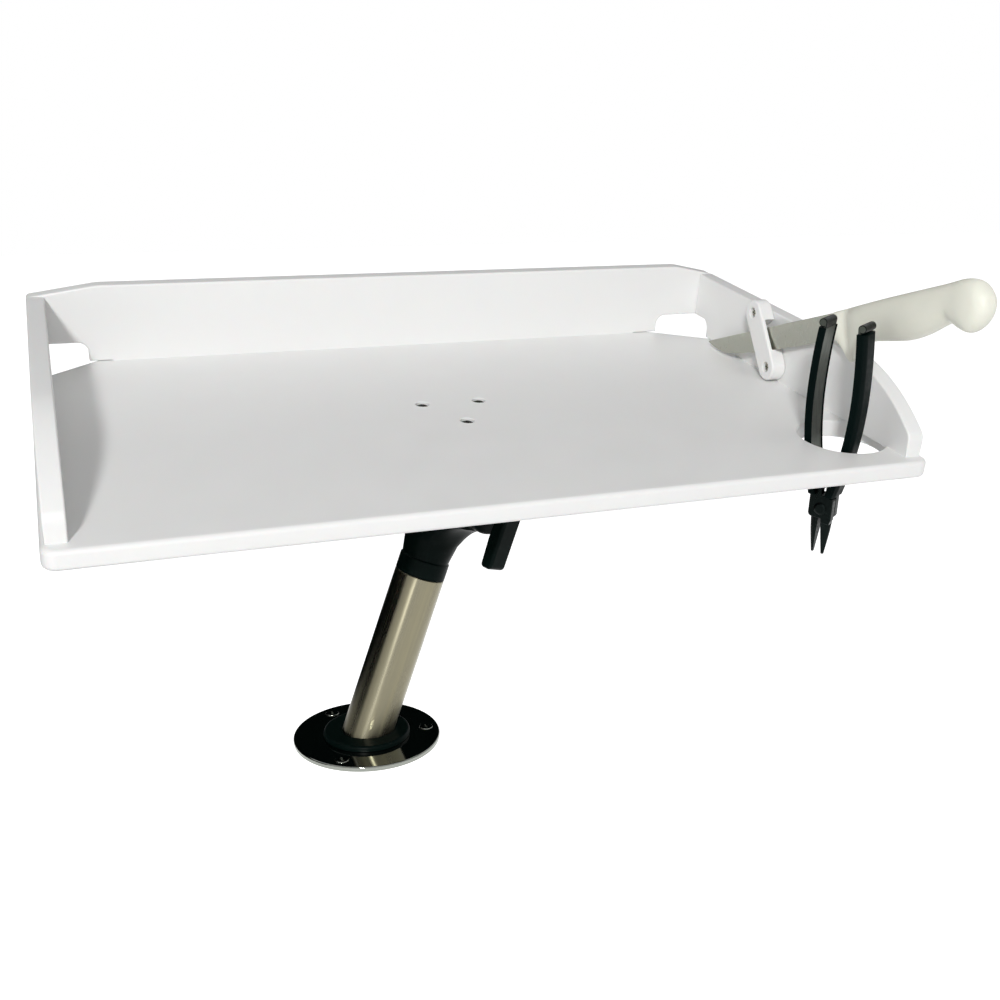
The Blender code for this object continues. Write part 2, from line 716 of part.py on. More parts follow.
def build_plier_half(name, side, pliers, steel, rubber):
    """One steel half with its rolled handle end, and the grip round the outside of its handle."""
    half_turn = Matrix.Rotation(math.pi if side < 0 else 0, 4, "Z")
    from_pivot = half_turn @ Matrix.Translation((0, 0, PIVOT_DEPTH))

    def placed(bm):
        """Heights are counted from the tray's top, and the frame is at the pivot."""
        bm.transform(from_pivot)
        return bm

    strip_in = -GRIP_THICK / 2 + STRIP_INSET
    strip_out = strip_in + STRIP_THICK
    strip = prism(strip_outline(strip_in, strip_out, -STRIP_DEPTH), -STRIP_HALF_WIDTH, STRIP_HALF_WIDTH, "Y")
    half = solid(name, placed(strip), steel, pliers)
    plate = prism(joint_outline(strip_in, strip_out), GAP / 2, JOINT_THICK / 2, "Y")
    add(half, "joint", placed(plate))

    # A jaw hangs on the other side of the pivot from its handle
    rings = []
    for depth, thick, wide in JAW_STATIONS:
        inner = -jaw_face(depth)
        outer = inner - thick
        corners = ((outer, -wide), (inner, -wide), (inner, wide), (outer, wide))
        rings.append([(x, y, -depth) for x, y in corners])
    add(half, "jaw", placed(loft(rings)))
    cut(half, "bore", rod(RIVET_RADIUS + GAP, -JOINT_THICK, JOINT_THICK, MEDIUM, "Y"))

    cover = handle_band(-GRIP_THICK / 2, GRIP_THICK / 2, -GRIP_DEPTH, GRIP_TOP)
    bm = placed(prism(cover, -GRIP_HALF_WIDTH, GRIP_HALF_WIDTH, "Y"))
    grip = solid(name.replace("half", "grip"), bm, rubber, pliers)
    groove = handle_band(-GRIP_THICK, strip_out + GAP, -STRIP_DEPTH, HANDLE_TOP)
    bm = prism(groove, -STRIP_HALF_WIDTH - GAP, STRIP_HALF_WIDTH + GAP, "Y")
    cut(grip, "groove", placed(bm))


def build_pliers(pliers, steel, rubber):
    build_plier_half("plier_half_right", 1, pliers, steel, rubber)
    build_plier_half("plier_half_left", -1, pliers, steel, rubber)
    reach = JOINT_THICK / 2 + GAP
    end = reach + RIVET_HEAD_THICK
    profile = [(0, -end), (RIVET_HEAD, -end), (RIVET_HEAD, -reach), (RIVET_RADIUS, -reach),
               (RIVET_RADIUS, reach), (RIVET_HEAD, reach), (RIVET_HEAD, end), (0, end)]
    solid("plier_pivot", turned(profile, MEDIUM, "Y"), steel, pliers)


# Mount bracket, under the board


def build_bracket(bracket, polymer):
    plate = rod(BRACKET_RADIUS, BRACKET_BOTTOM, BRACKET_TOP, ROUND)
    holder = solid("mount_bracket", plate, polymer, bracket)
    top = BRACKET_BOTTOM + BRACKET_THICK / 2
    outline = [(TONGUE_RADIUS, top)] + arc((0, 0), TONGUE_RADIUS, 0, -180, 20) + [(-TONGUE_RADIUS, top)]
    add(holder, "tongue", prism(outline, -TONGUE_HALF, TONGUE_HALF, "X"))
    cut(holder, "bolt_bore", rod(BOLT_RADIUS + GAP, -BRACKET_RADIUS, BRACKET_RADIUS, MEDIUM, "X"))
    to_bracket = Matrix.Rotation(-math.atan2(HINGE_ON_BOARD.y, HINGE_ON_BOARD.x), 4, "Z")
    from_tray = to_bracket @ Matrix.Translation((-PIVOT_X, -PIVOT_Y, PIVOT_DROP))
    holes = [screw_hole(MOUNT_SCREW, from_tray @ place) for place in mount_screw_places()]
    cut(holder, "screw_holes", gather(*holes))


# Knuckle head, in the tube


def neck_rings():
    """Rings down from the hinge to the spigot's end: (level, half width, half depth, power)."""
    arch_start = KNUCKLE_RADIUS + ARCH_RADIUS
    neck = KNUCKLE_HALF - ARCH_RADIUS
    collar_neck = TUBE_RADIUS - COLLAR_STEP
    levels = [(0.020, KNUCKLE_HALF - 0.0007, NECK_DEPTH, 7.0)]
    for i in range(7):
        t = math.radians(90 - 15 * i)
        half = KNUCKLE_HALF - ARCH_RADIUS * math.cos(t) - 0.0007 * math.sin(t)
        depth = NECK_DEPTH + (neck - NECK_DEPTH) * (i / 6)
        levels.append((arch_start - ARCH_RADIUS * math.sin(t), half, depth, 7.0 - 5.0 * i / 6))
    spigot_end = COLLAR_END + SPIGOT_LENGTH
    groove = COLLAR_END + GROOVE_PLACE
    slim = SPIGOT_RADIUS - GROOVE_DEPTH
    for level, radius in (
        (COLLAR_START - 0.0004, collar_neck),
        (COLLAR_START, TUBE_RADIUS),
        (COLLAR_END, TUBE_RADIUS),
        (COLLAR_END, SPIGOT_RADIUS),
        (groove - GROOVE_HALF, SPIGOT_RADIUS),
        (groove - GROOVE_HALF, slim),
        (groove + GROOVE_HALF, slim),
        (groove + GROOVE_HALF, SPIGOT_RADIUS),
        (spigot_end - 0.0015, SPIGOT_RADIUS),
        (spigot_end, SPIGOT_RADIUS - 0.0015),
    ):
        levels.append((level, radius, radius, 2.0))
    rings = []
    for level, wide, deep, power in levels:
        rings.append([(x, y, -level) for x, y in squircle(wide, deep, power, ROUND)])
    return rings


def build_knuckle(knuckle, polymer, pad, steel):
    head = solid("knuckle_head", loft(neck_rings()), polymer, knuckle)
    edge = 0.001
    for side, name in ((1, "right_ear"), (-1, "left_ear")):
        profile = [(0, side * EAR_INSIDE), (KNUCKLE_RADIUS, side * EAR_INSIDE)]
        profile += [(KNUCKLE_RADIUS, side * (KNUCKLE_HALF - edge))]
        profile += [(KNUCKLE_RADIUS - edge, side * KNUCKLE_HALF), (0, side * KNUCKLE_HALF)]
        add(head, name, turned(profile, ROUND, "X"))
    slot = rod(TONGUE_RADIUS + TONGUE_CLEARANCE, -EAR_INSIDE, EAR_INSIDE, ROUND, "X")
    cut(head, "tongue_slot", slot)
    cut(head, "bolt_bore", rod(BOLT_RADIUS + GAP, -BRACKET_RADIUS * 2, BRACKET_RADIUS * 2, MEDIUM, "X"))
    pocket_floor = -KNUCKLE_HALF + BOLT_HEAD_THICK + 2 * GAP
    corner = BOLT_HEAD_FLATS / 2 / math.cos(math.pi / 6)
    cut(head, "head_pocket", rod(corner + GAP, -KNUCKLE_HALF - OVER, pocket_floor, 6, "X"))

    for side, name in ((1, "friction_disc_right"), (-1, "friction_disc_left")):
        low = TONGUE_HALF + GAP
        disc = washer(BOLT_RADIUS + GAP, DISC_RADIUS, side * low, side * (low + DISC_THICK), MEDIUM, "X")
        solid(name, disc, pad, knuckle)

    head_out = -KNUCKLE_HALF + GAP
    bolt = solid("hinge_bolt", rod(corner, head_out, head_out + BOLT_HEAD_THICK, 6, "X"), steel, knuckle)
    add(bolt, "shank", rod(BOLT_RADIUS, head_out + BOLT_HEAD_THICK / 2, BOLT_END, MEDIUM, "X"))
    low = KNUCKLE_HALF + GAP
    ring = washer(BOLT_RADIUS + GAP, WASHER_RADIUS, low, low + WASHER_THICK, MEDIUM, "X")
    solid("bolt_washer", ring, steel, knuckle)


# Clamp lever


def build_lever(lever, polymer, brass):
    """A round hub with one arm, turning on the bolt beside the knuckle's right ear."""
    edge = 0.001
    face = HUB_FACE + LEVER_HUB_THICK
    profile = [(0, HUB_FACE), (LEVER_HUB - edge, HUB_FACE), (LEVER_HUB, HUB_FACE + edge)]
    profile += [(LEVER_HUB, face - edge), (LEVER_HUB - edge, face), (0, face)]
    handle = solid("clamp_lever", turned(profile, ROUND, "X"), polymer, lever)
    arm_back = LEVER_ARM_FACE - LEVER_ARM_THICK
    add(handle, "boss", rod(LEVER_BOSS, face - edge, arm_back + edge, MEDIUM, "X"))
    tip_back = LEVER_ARM_FACE - LEVER_ARM_TIP_THICK
    outline = [
        (arm_back, LEVER_ARM_HALF),
        (arm_back, -LEVER_HUB),
        (tip_back, -LEVER_REACH + 0.003),
        (tip_back + 0.002, -LEVER_REACH),
        (LEVER_ARM_FACE - 0.002, -LEVER_REACH),
        (LEVER_ARM_FACE, -LEVER_REACH + 0.003),
        (LEVER_ARM_FACE, LEVER_ARM_HALF - 0.002),
        (LEVER_ARM_FACE - 0.002, LEVER_ARM_HALF),
    ]
    arm = tool("clamp_lever_arm", prism(outline, -LEVER_ARM_HALF, LEVER_ARM_HALF, "Y"), lever)
    round_edges(arm, 0.002, angle=60, segments=2)
    shape_with(handle, arm, "UNION")
    bore_end = HUB_FACE + GAP + INSERT_LENGTH + GAP
    cut(handle, "insert_bore", rod(INSERT_RADIUS + GAP, HUB_FACE - OVER, bore_end, MEDIUM, "X"))
    low = HUB_FACE + GAP
    insert = washer(BOLT_RADIUS + GAP, INSERT_RADIUS, low, low + INSERT_LENGTH, MEDIUM, "X")
    solid("lever_insert", insert, brass, lever)


# Tube, foot and flange


def build_stand(root, tube_frame, steel, mirror, polymer):
    edge = FLANGE_EDGE
    profile = [(0, 0), (FLANGE_RADIUS - edge, 0), (FLANGE_RADIUS, edge)]
    profile += [(FLANGE_RADIUS, FLANGE_THICK - edge), (FLANGE_RADIUS - edge, FLANGE_THICK)]
    profile += [(0, FLANGE_THICK)]
    flange = solid("deck_flange", turned(profile, 48), mirror, root)
    places = []
    for angle in FLANGE_ANGLES:
        t = math.radians(angle)
        spot = (FLANGE_CIRCLE * math.cos(t), FLANGE_CIRCLE * math.sin(t), FLANGE_THICK + FLANGE_PROUD)
        places.append(facing((0, 0, 1), spot))
    holes = [screw_hole(FLANGE_SCREW, place) for place in places]
    cut(flange, "screw_holes", gather(*holes))
    screws([f"flange_screw_{i}" for i in (1, 2, 3)], FLANGE_SCREW, places, steel, root)

    low = FLANGE_THICK + GAP
    profile = [(0, low), (FOOT_RADIUS, low), (FOOT_RADIUS, low + FOOT_HEIGHT - 0.001)]
    profile += [(FOOT_RADIUS - 0.001, low + FOOT_HEIGHT), (0, low + FOOT_HEIGHT)]
    foot = solid("foot_collar", turned(profile, ROUND), polymer, root)
    passage = rod(TUBE_RADIUS + GAP, -FOOT_RADIUS, 2 * FOOT_RADIUS, ROUND)
    shape_with(foot, tool("foot_collar_passage", passage, tube_frame))

    top = KNUCKLE_REACH - COLLAR_END - GAP
    pipe = washer(TUBE_BORE, TUBE_RADIUS, -TUBE_RADIUS, top, ROUND)
    tube = solid("tube", pipe, steel, tube_frame)
    under = block((-FLANGE_RADIUS, -FLANGE_RADIUS, -FLANGE_RADIUS), (FLANGE_RADIUS, FLANGE_RADIUS, low))
    shape_with(tube, tool("tube_foot_cut", under, root))
    place = facing((0, 1, 0), (0, TUBE_RADIUS + GAP + SWIVEL_SCREW.rim,
                               KNUCKLE_REACH - COLLAR_END - GROOVE_PLACE))
    hole = rod(SWIVEL_SCREW.shank + GAP, -SWIVEL_SCREW.length, 0, SMALL)
    hole.transform(place)
    cut(tube, "screw_hole", hole)
    screws(("swivel_screw",), SWIVEL_SCREW, [place], steel, tube_frame)


def seat_pliers():
    """The pliers' pivot and axes, with both near handle edges at the hole's rim."""
    handles = handle_offset(0) + GRIP_THICK / 2
    rim = PLIER_HOLE - GAP
    back = math.sqrt(rim**2 - handles**2) - GRIP_HALF_WIDTH
    across = Vector((math.cos(PLIERS_HEADING), math.sin(PLIERS_HEADING), 0))
    outward = Vector((across.y, -across.x, 0))
    place = Vector((PLIER_HOLE_X, PLIER_HOLE_Y, 0)) + outward * back
    tilt = Matrix.Rotation(PLIERS_LEAN, 3, outward)
    upward = tilt @ Vector((0, 0, 1))
    return place - upward * PIVOT_DEPTH, (tilt @ across, tilt @ -outward, upward)


def build():
    clear_scene()
    white = finish("polyethylene", "F0F0F0", 0.45)
    ivory = finish("handle polymer", "D8D8CB", 0.40)
    black = finish("glass-filled nylon", "101413", 0.40)
    grip = finish("grip rubber", "0C0F0E", 0.60)
    pad = finish("friction pad", "2A2A28", 0.80)
    steel = finish("stainless steel", "B9B8B0", 0.22, 1.0)
    mirror = finish("polished stainless steel", "B4B3AC", 0.06, 1.0)
    brass = finish("brass", "B08D3C", 0.35, 1.0)

    root = frame("root_frame")
    across_tube = Vector((0, 1, 0))
    tube_axes = (across_tube.cross(TUBE_AXIS), across_tube, TUBE_AXIS)
    tube_frame = frame("tube_frame", root, FLANGE_TOP, tube_axes)
    knuckle_axes = (HINGE_AXIS, TUBE_AXIS.cross(HINGE_AXIS), TUBE_AXIS)
    knuckle = frame("knuckle_frame", root, KNUCKLE, knuckle_axes)
    lever = frame("lever_frame", knuckle)
    pivot = frame("board_pivot", root, KNUCKLE)
    pivot.rotation_euler = BOARD_TURN.to_euler()
    bracket = frame("bracket_frame", pivot)
    bracket.rotation_euler = (0, 0, math.atan2(HINGE_ON_BOARD.y, HINGE_ON_BOARD.x))
    tray = frame("tray_frame", pivot, (-PIVOT_X, -PIVOT_Y, PIVOT_DROP))

    towards_tip = Vector((
        -math.sin(BLADE_YAW) * math.cos(BLADE_PITCH),
        math.cos(BLADE_YAW) * math.cos(BLADE_PITCH),
        -math.sin(BLADE_PITCH),
    ))
    inward = Vector((-math.cos(BLADE_YAW), -math.sin(BLADE_YAW), 0))
    knife_axes = (towards_tip, inward, towards_tip.cross(inward))
    spine = (TRAY_WIDTH - BLADE_STANDOFF, BLADE_SPINE_Y, BLADE_SPINE_Z)
    knife = frame("knife_frame", tray, spine, knife_axes)
    plier_pivot, plier_axes = seat_pliers()
    pliers = frame("pliers_frame", tray, plier_pivot, plier_axes)

    build_base(tray, white)
    build_walls(tray, white)
    build_tray_screws(tray, steel)
    build_keeper(tray, white, steel)
    build_knife(knife, steel, ivory)
    build_pliers(pliers, steel, grip)
    build_bracket(bracket, black)
    build_knuckle(knuckle, black, pad, steel)
    build_lever(lever, black, brass)
    build_stand(root, tube_frame, steel, mirror, black)
    bpy.context.view_layer.update()


build()
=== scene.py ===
"""Bait board: the looks of a white tray on a tilting knuckle, tube and deck flange.

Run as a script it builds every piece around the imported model; the add-on's panel lists the
same steps. Lengths are metres, +Z is square to the flange and +Y runs to the back wall.
"""

import json
import math
from collections import namedtuple

import bmesh
import bpy
from mathutils import Matrix, Vector

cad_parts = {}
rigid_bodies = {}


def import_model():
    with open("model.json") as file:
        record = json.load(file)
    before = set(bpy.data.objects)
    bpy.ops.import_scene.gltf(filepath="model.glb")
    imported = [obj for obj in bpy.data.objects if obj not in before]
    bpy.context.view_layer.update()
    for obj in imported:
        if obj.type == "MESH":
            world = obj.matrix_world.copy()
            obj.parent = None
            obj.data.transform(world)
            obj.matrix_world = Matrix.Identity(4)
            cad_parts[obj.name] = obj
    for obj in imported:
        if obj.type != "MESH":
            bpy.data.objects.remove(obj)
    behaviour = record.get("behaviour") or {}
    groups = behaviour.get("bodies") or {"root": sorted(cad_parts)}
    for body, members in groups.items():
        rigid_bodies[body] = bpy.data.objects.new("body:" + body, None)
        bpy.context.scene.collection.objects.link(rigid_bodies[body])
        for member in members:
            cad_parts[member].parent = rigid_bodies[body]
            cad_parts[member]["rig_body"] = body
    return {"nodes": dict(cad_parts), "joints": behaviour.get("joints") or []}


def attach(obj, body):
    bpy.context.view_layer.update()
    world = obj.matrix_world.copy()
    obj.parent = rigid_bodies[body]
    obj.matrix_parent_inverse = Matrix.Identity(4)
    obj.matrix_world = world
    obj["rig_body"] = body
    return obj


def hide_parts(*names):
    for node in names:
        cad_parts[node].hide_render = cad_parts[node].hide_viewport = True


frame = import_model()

bl_info = {
    "name": "Bait Board",
    "version": (1, 0, 0),
    "blender": (4, 5, 0),
    "location": "View3D > Sidebar > Bait Board",
    "description": "Builds the tray, knife, pliers and mount around the packed model",
    "category": "Object",
}

# Play between neighbouring pieces
GAP = 0.0003
# How far a cutting shape reaches past what it cuts
OVER = 0.002
# Width of the flat strip inside a rounded rim
FLAT_STRIP = 0.0003
# How far the walls stand in the base board, so that no slit shows under their rounded edges
FOOTING = 0.0018
# Rounding of an edge that is only broken, and the sides of small and large round pieces
SLIGHT = 0.0006
SMALL_ROUND = 48
LARGE_ROUND = 96
# Points closer than this are one
SAME_POINT = 1e-6

# Sizes of the tray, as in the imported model
SHEET = 0.0127
TRAY_WIDTH = 0.552
TRAY_DEPTH = 0.316
BASE_LIP = 0.0025
BASE_CORNER = 0.009
BACK_HEIGHT = 0.0590
BACK_SLOPE_DROP = 0.0075
BACK_SLOPE_LEFT = 0.050
BACK_SLOPE_RIGHT = 0.036
SIDE_HEIGHT = 0.052
SIDE_SWEEP_START = 0.108
SIDE_SWEEP = 0.150
SIDE_NOSE = 0.010
SIDE_SETBACK = 0.0098
DRAIN_LEFT = 0.028
DRAIN_RIGHT = 0.038
DRAIN_DEPTH = 0.023
DRAIN_HEIGHT = 0.015
DRAIN_ROUND = 0.008
PLIER_HOLE_X = TRAY_WIDTH - 0.0215
PLIER_HOLE_Y = 0.0545
PLIER_HOLE = 0.0315
OUTER_LEFT = -SHEET
OUTER_RIGHT = TRAY_WIDTH + SHEET
BACK_FACE = TRAY_DEPTH + SHEET
# Rounding where a rear corner is cut off, and along the top of the back wall
CUT_CORNER_ROUND = 0.006
BACK_END_ROUND = 0.003
BACK_ROUND_LEFT = 0.045
BACK_ROUND_RIGHT = 0.035

# Screws: head radius, rim height, whether the head is a cone, shank radius and length, the
# rounding of the head's edge, and the finish
Screw = namedtuple("Screw", "head rim cone shank length edge finish")
WALL_SCREW = Screw(0.0042, 0.0003, True, 0.0021, 0.032, 0.0006, "fastener")
CORNER_SCREW = WALL_SCREW._replace(length=0.036)
# The mount screws take the near-black steel: painted shade, standing in for the dark reflection in
# their sunk heads
MOUNT_SCREW = Screw(0.0048, 0.0032, False, 0.0030, 0.0162, 0.0016, "shade_darkened_steel")
KEEPER_SCREW = Screw(0.0038, 0.0026, False, 0.0019, 0.021, 0.0012, "fastener")
FLANGE_SCREW = Screw(0.0052, 0.0006, True, 0.0026, 0.0043, 0.0003, "mirror")
SWIVEL_SCREW = Screw(0.0042, 0.0024, False, 0.0025, 0.0061, 0.0012, "fastener")
# Thickness of the flat seat under a head that isn't a cone
FLAT_SEAT = 2e-5
# The crown as a share of the head's edge, the recess's span as a share of the head's radius,
# and the sides of a screw and of its hole
HEAD_CROWN = 0.35
RECESS_SPAN = 1.15
SCREW_SIDES = 40
HOLE_SIDES = 32

# Where the screws stand
SIDE_SCREW_FRONT = 0.115
SIDE_SCREW_REAR = 0.054
BACK_SCREW_END = 0.060
CORNER_SCREW_HEIGHTS = (0.027, 0.042)
MOUNT_SINK = 0.0013
MOUNT_CIRCLE = 0.0252
MOUNT_ANGLES = (30, 150, 270)
KEEPER_SINK = 0.0016

# Flange, tube and foot
FLANGE_RADIUS = 0.056
FLANGE_THICK = 0.004
FLANGE_EDGE = 0.0012
FLANGE_CIRCLE = 0.046
FLANGE_ANGLES = (-8, 112, 232)
FLANGE_PROUD = 0.0006
TUBE_RADIUS = 0.01905
TUBE_WALL = 0.00165
TUBE_LEAN = math.radians(20)
FOOT_RADIUS = 0.033
FOOT_HEIGHT = 0.004
FOOT_ROUND = 0.0022
TUBE_EDGE = 0.0004

# Knuckle
KNUCKLE_REACH = 0.212
KNUCKLE_RADIUS = 0.0315
KNUCKLE_HALF = 0.0407
COLLAR_END = 0.080
COLLAR_START = 0.067
COLLAR_STEP = 0.0009
ARCH_RADIUS = 0.020
NECK_DEPTH = 0.020
NECK_TOP = 0.020
# How far the neck stands inside the ears' outer faces, and how square it is (2 is round)
NECK_RELIEF = 0.0007
NECK_SQUARE = 7.0
SPIGOT_LENGTH = 0.035
GROOVE_PLACE = 0.017
TONGUE_HALF = 0.013
TONGUE_RADIUS = 0.028
TONGUE_CLEARANCE = 0.0015
DISC_THICK = 0.0015
BRACKET_RADIUS = 0.038
BRACKET_THICK = 0.006
BOLT_RADIUS = 0.005
BOLT_HEAD_FLATS = 0.017
BOLT_HEAD_CORNER = BOLT_HEAD_FLATS / 2 / math.cos(math.pi / 6)
BOLT_HEAD_THICK = 0.0063
BOLT_END = 0.056
WASHER_RADIUS = 0.011
WASHER_THICK = 0.0008

# Clamp lever
LEVER_HUB = 0.031
LEVER_HUB_THICK = 0.0064
LEVER_BOSS = 0.013
LEVER_ARM_FACE = 0.0684
LEVER_ARM_THICK = 0.0112
LEVER_ARM_TIP_THICK = 0.0100
LEVER_ARM_HALF = 0.0085
LEVER_ARM_EDGE = 0.0022
LEVER_REACH = 0.0516
INSERT_RADIUS = 0.008
INSERT_LENGTH = 0.0146
INSERT_GROOVE = 0.0003

# Board on its mount
BOARD_PITCH = math.radians(10)
PIVOT_X = TRAY_WIDTH / 2 - 0.003
PIVOT_Y = TRAY_DEPTH / 2 + 0.007
PIVOT_DROP = 0.052

# Keeper and knife
KEEPER_Y = 0.1901
KEEPER_Z = 0.0302
KEEPER_TURN = math.radians(51.1)
KEEPER_HALF = 0.0105
KEEPER_SCREW_SPAN = 0.0471
KEEPER_SLOT = 0.026
BLADE_STANDOFF = 0.008
BLADE_SPINE_Y = 0.1907
BLADE_SPINE_Z = 0.0394
BLADE_YAW = math.radians(2.2)
BLADE_THICK = 0.002
BLADE_EDGE_THICK = 0.0003
BLADE_HEEL = -0.0199
# Depth at which the blade has its full thickness, the share of it that isn't ground, and the
# softness of its spine
BLADE_FULL_DEPTH = 0.008
BLADE_FLANK = 0.35
BLADE_SPINE_SOFT = 0.0002
HANDLE_FRONT = -0.0880
HANDLE_SLACK = 0.0002
# Length and width share of the handle's rounded front, and how square it is (2 is an ellipse)
HANDLE_FRONT_ROUND = 0.0022
HANDLE_FRONT_SHARE = 0.86
HANDLE_SQUARE = 2.25

# Along the blade: distance towards the tip and the cutting edge below the spine
BLADE_STATIONS = (
    (HANDLE_FRONT + GAP, BLADE_HEEL),
    (-0.0450, -0.0192),
    (-0.0030, -0.0185),
    (0.0200, -0.0172),
    (0.0430, -0.0155),
    (0.0620, -0.0122),
    (0.0745, -0.0072),
    (0.0820, -0.0024),
    (0.0846, -0.0006),
)

# Along the handle, from its front: top, bottom and half thickness
HANDLE_STATIONS = (
    (0.0000, 0.0006, -0.0200, 0.0062),
    (0.0040, 0.0008, -0.0232, 0.0066),
    (0.0085, 0.0010, -0.0285, 0.0058),
    (0.0122, 0.0010, -0.0366, 0.0042),
    (0.0146, 0.0010, -0.0386, 0.0036),
    (0.0180, 0.0012, -0.0375, 0.0042),
    (0.0225, 0.0013, -0.0322, 0.0064),
    (0.0300, 0.0015, -0.0278, 0.0090),
    (0.0420, 0.0018, -0.0266, 0.0105),
    (0.0590, 0.0022, -0.0284, 0.0114),
    (0.0770, 0.0024, -0.0301, 0.0117),
    (0.0940, 0.0025, -0.0287, 0.0114),
    (0.1110, 0.0026, -0.0247, 0.0105),
    (0.1200, 0.0027, -0.0237, 0.0102),
    (0.1260, 0.0030, -0.0283, 0.0104),
    (0.1333, 0.0032, -0.0320, 0.0108),
    (0.1400, 0.0022, -0.0308, 0.0104),
    (0.1460, -0.0007, -0.0272, 0.0092),
    (0.1505, -0.0068, -0.0216, 0.0062),
    (0.1522, -0.0115, -0.0170, 0.0028),
)

# Pliers
PIVOT_DEPTH = 0.050
JOINT_RADIUS = 0.009
JOINT_THICK = 0.011
JOINT_INSET = 0.0004
TANG_TOP_DEPTH = 0.033
HANDLE_ROOT = 0.0055
HANDLE_BULGE = 0.0164
HANDLE_BULGE_Z = 0.035
HANDLE_TIP = 0.0132
HANDLE_TOP = 0.0862
GRIP_HALF_WIDTH = 0.00975
GRIP_THICK = 0.0052
GRIP_TOP = 0.0826
GRIP_CROWN = 0.0016
GRIP_DEPTH = 0.039
STRIP_HALF_WIDTH = 0.0082
STRIP_THICK = 0.0018
STRIP_INSET = 0.0006
STRIP_DEPTH = 0.041
STRIP_END = 0.0392
ROLL_RADIUS = 0.003
STRIP_INSIDE = -GRIP_THICK / 2 + STRIP_INSET
STRIP_OUTSIDE = STRIP_INSIDE + STRIP_THICK
JAW_OPEN = math.radians(4.7)
JAW_ROOT_OVERLAP = 0.004
JAW_ROOT_INSET = 0.0008
RIVET_RADIUS = 0.003
RIVET_HEAD = 0.0046
RIVET_HEAD_THICK = 0.0009
JAW_TEETH_START = 0.003
# 1 makes the jaws' outside an ellipse, and less makes it fuller
JAW_FULLNESS = 0.8
# Rounding of the grips, the steel strips and the joint's outline
GRIP_EDGE = 0.0004
STRIP_EDGE = 0.0003
JOINT_CORNER = 0.0015
JOINT_SHOULDER = 0.002
JOINT_NICK = 0.0008

# Down a jaw: depth below the tray's top, thickness and half width
JAW_STATIONS = (
    (0.0570, 0.0076, 0.0043),
    (0.0665, 0.0061, 0.0035),
    (0.0730, 0.0048, 0.0028),
    (0.0800, 0.0033, 0.0019),
    (0.0865, 0.0018, 0.0011),
)


def joint(name):
    """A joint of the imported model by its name."""
    return next(found for found in frame["joints"] if found["name"] == name)


def joint_axis(name):
    return Vector(joint(name)["axis"]).normalized()


def axes(location, x, y, z):
    """The place whose X, Y and Z run in these directions."""
    turn = Matrix((x, y, z)).transposed().to_4x4()
    return Matrix.Translation(location) @ turn


# Places of the groups of pieces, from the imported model's joints
HINGE = Vector(joint("tilt")["pos_m"])
HINGE_AXIS = joint_axis("tilt")
TUBE_AXIS = joint_axis("swivel")
BOARD_TURN = Matrix.Rotation(BOARD_PITCH, 4, "X")
HINGE_ON_BOARD = BOARD_TURN.inverted() @ HINGE_AXIS
BRACKET_TURN = math.atan2(HINGE_ON_BOARD.y, HINGE_ON_BOARD.x)
STAND = Matrix.Identity(4)
ACROSS_TUBE = Vector((0, 1, 0))
TUBE = axes((0, 0, FLANGE_THICK), ACROSS_TUBE.cross(TUBE_AXIS), ACROSS_TUBE, TUBE_AXIS)
KNUCKLE = axes(HINGE, HINGE_AXIS, TUBE_AXIS.cross(HINGE_AXIS), TUBE_AXIS)
BOARD = Matrix.Translation(HINGE) @ BOARD_TURN
TRAY = BOARD @ Matrix.Translation((-PIVOT_X, -PIVOT_Y, PIVOT_DROP))
BRACKET = BOARD @ Matrix.Rotation(BRACKET_TURN, 4, "Z")
PLIERS_Y = joint_axis("pliers_open")
PLIERS_Z = joint_axis("pliers_lift")
PLIERS = axes(joint("pliers_open")["pos_m"], PLIERS_Y.cross(PLIERS_Z), PLIERS_Y, PLIERS_Z)
TO_TIP = -joint_axis("knife_slide")
BLADE_SIDE = (
    TRAY.to_3x3() @ Vector((-math.cos(BLADE_YAW), -math.sin(BLADE_YAW), 0))
).normalized()
KNIFE = axes(
    TRAY @ Vector((TRAY_WIDTH - BLADE_STANDOFF, BLADE_SPINE_Y, BLADE_SPINE_Z)),
    TO_TIP, BLADE_SIDE, TO_TIP.cross(BLADE_SIDE),
)

TUBE_BORE = TUBE_RADIUS - TUBE_WALL
SPIGOT_RADIUS = TUBE_BORE - GAP
EAR_INSIDE = TONGUE_HALF + DISC_THICK + 2 * GAP
HUB_FACE = KNUCKLE_HALF + WASHER_THICK + 2 * GAP
BRACKET_TOP = PIVOT_DROP - SHEET - GAP
BRACKET_BOTTOM = BRACKET_TOP - BRACKET_THICK


def linear(colour):
    """An sRGB hex colour as linear red, green and blue."""
    parts = [int(colour[i : i + 2], 16) / 255 for i in (0, 2, 4)]
    return tuple(p / 12.92 if p <= 0.04045 else ((p + 0.055) / 1.055) ** 2.4 for p in parts)


# Settings


def length(name, description, default):
    return bpy.props.FloatProperty(
        name=name, description=description, default=default, min=0, precision=5,
        unit="LENGTH", subtype="DISTANCE",
    )


def colour(name, description, default):
    return bpy.props.FloatVectorProperty(
        name=name, description=description, default=linear(default), min=0, max=1,
        size=3, subtype="COLOR",
    )


def number(name, description, default):
    return bpy.props.FloatProperty(name=name, description=description, default=default, min=0)


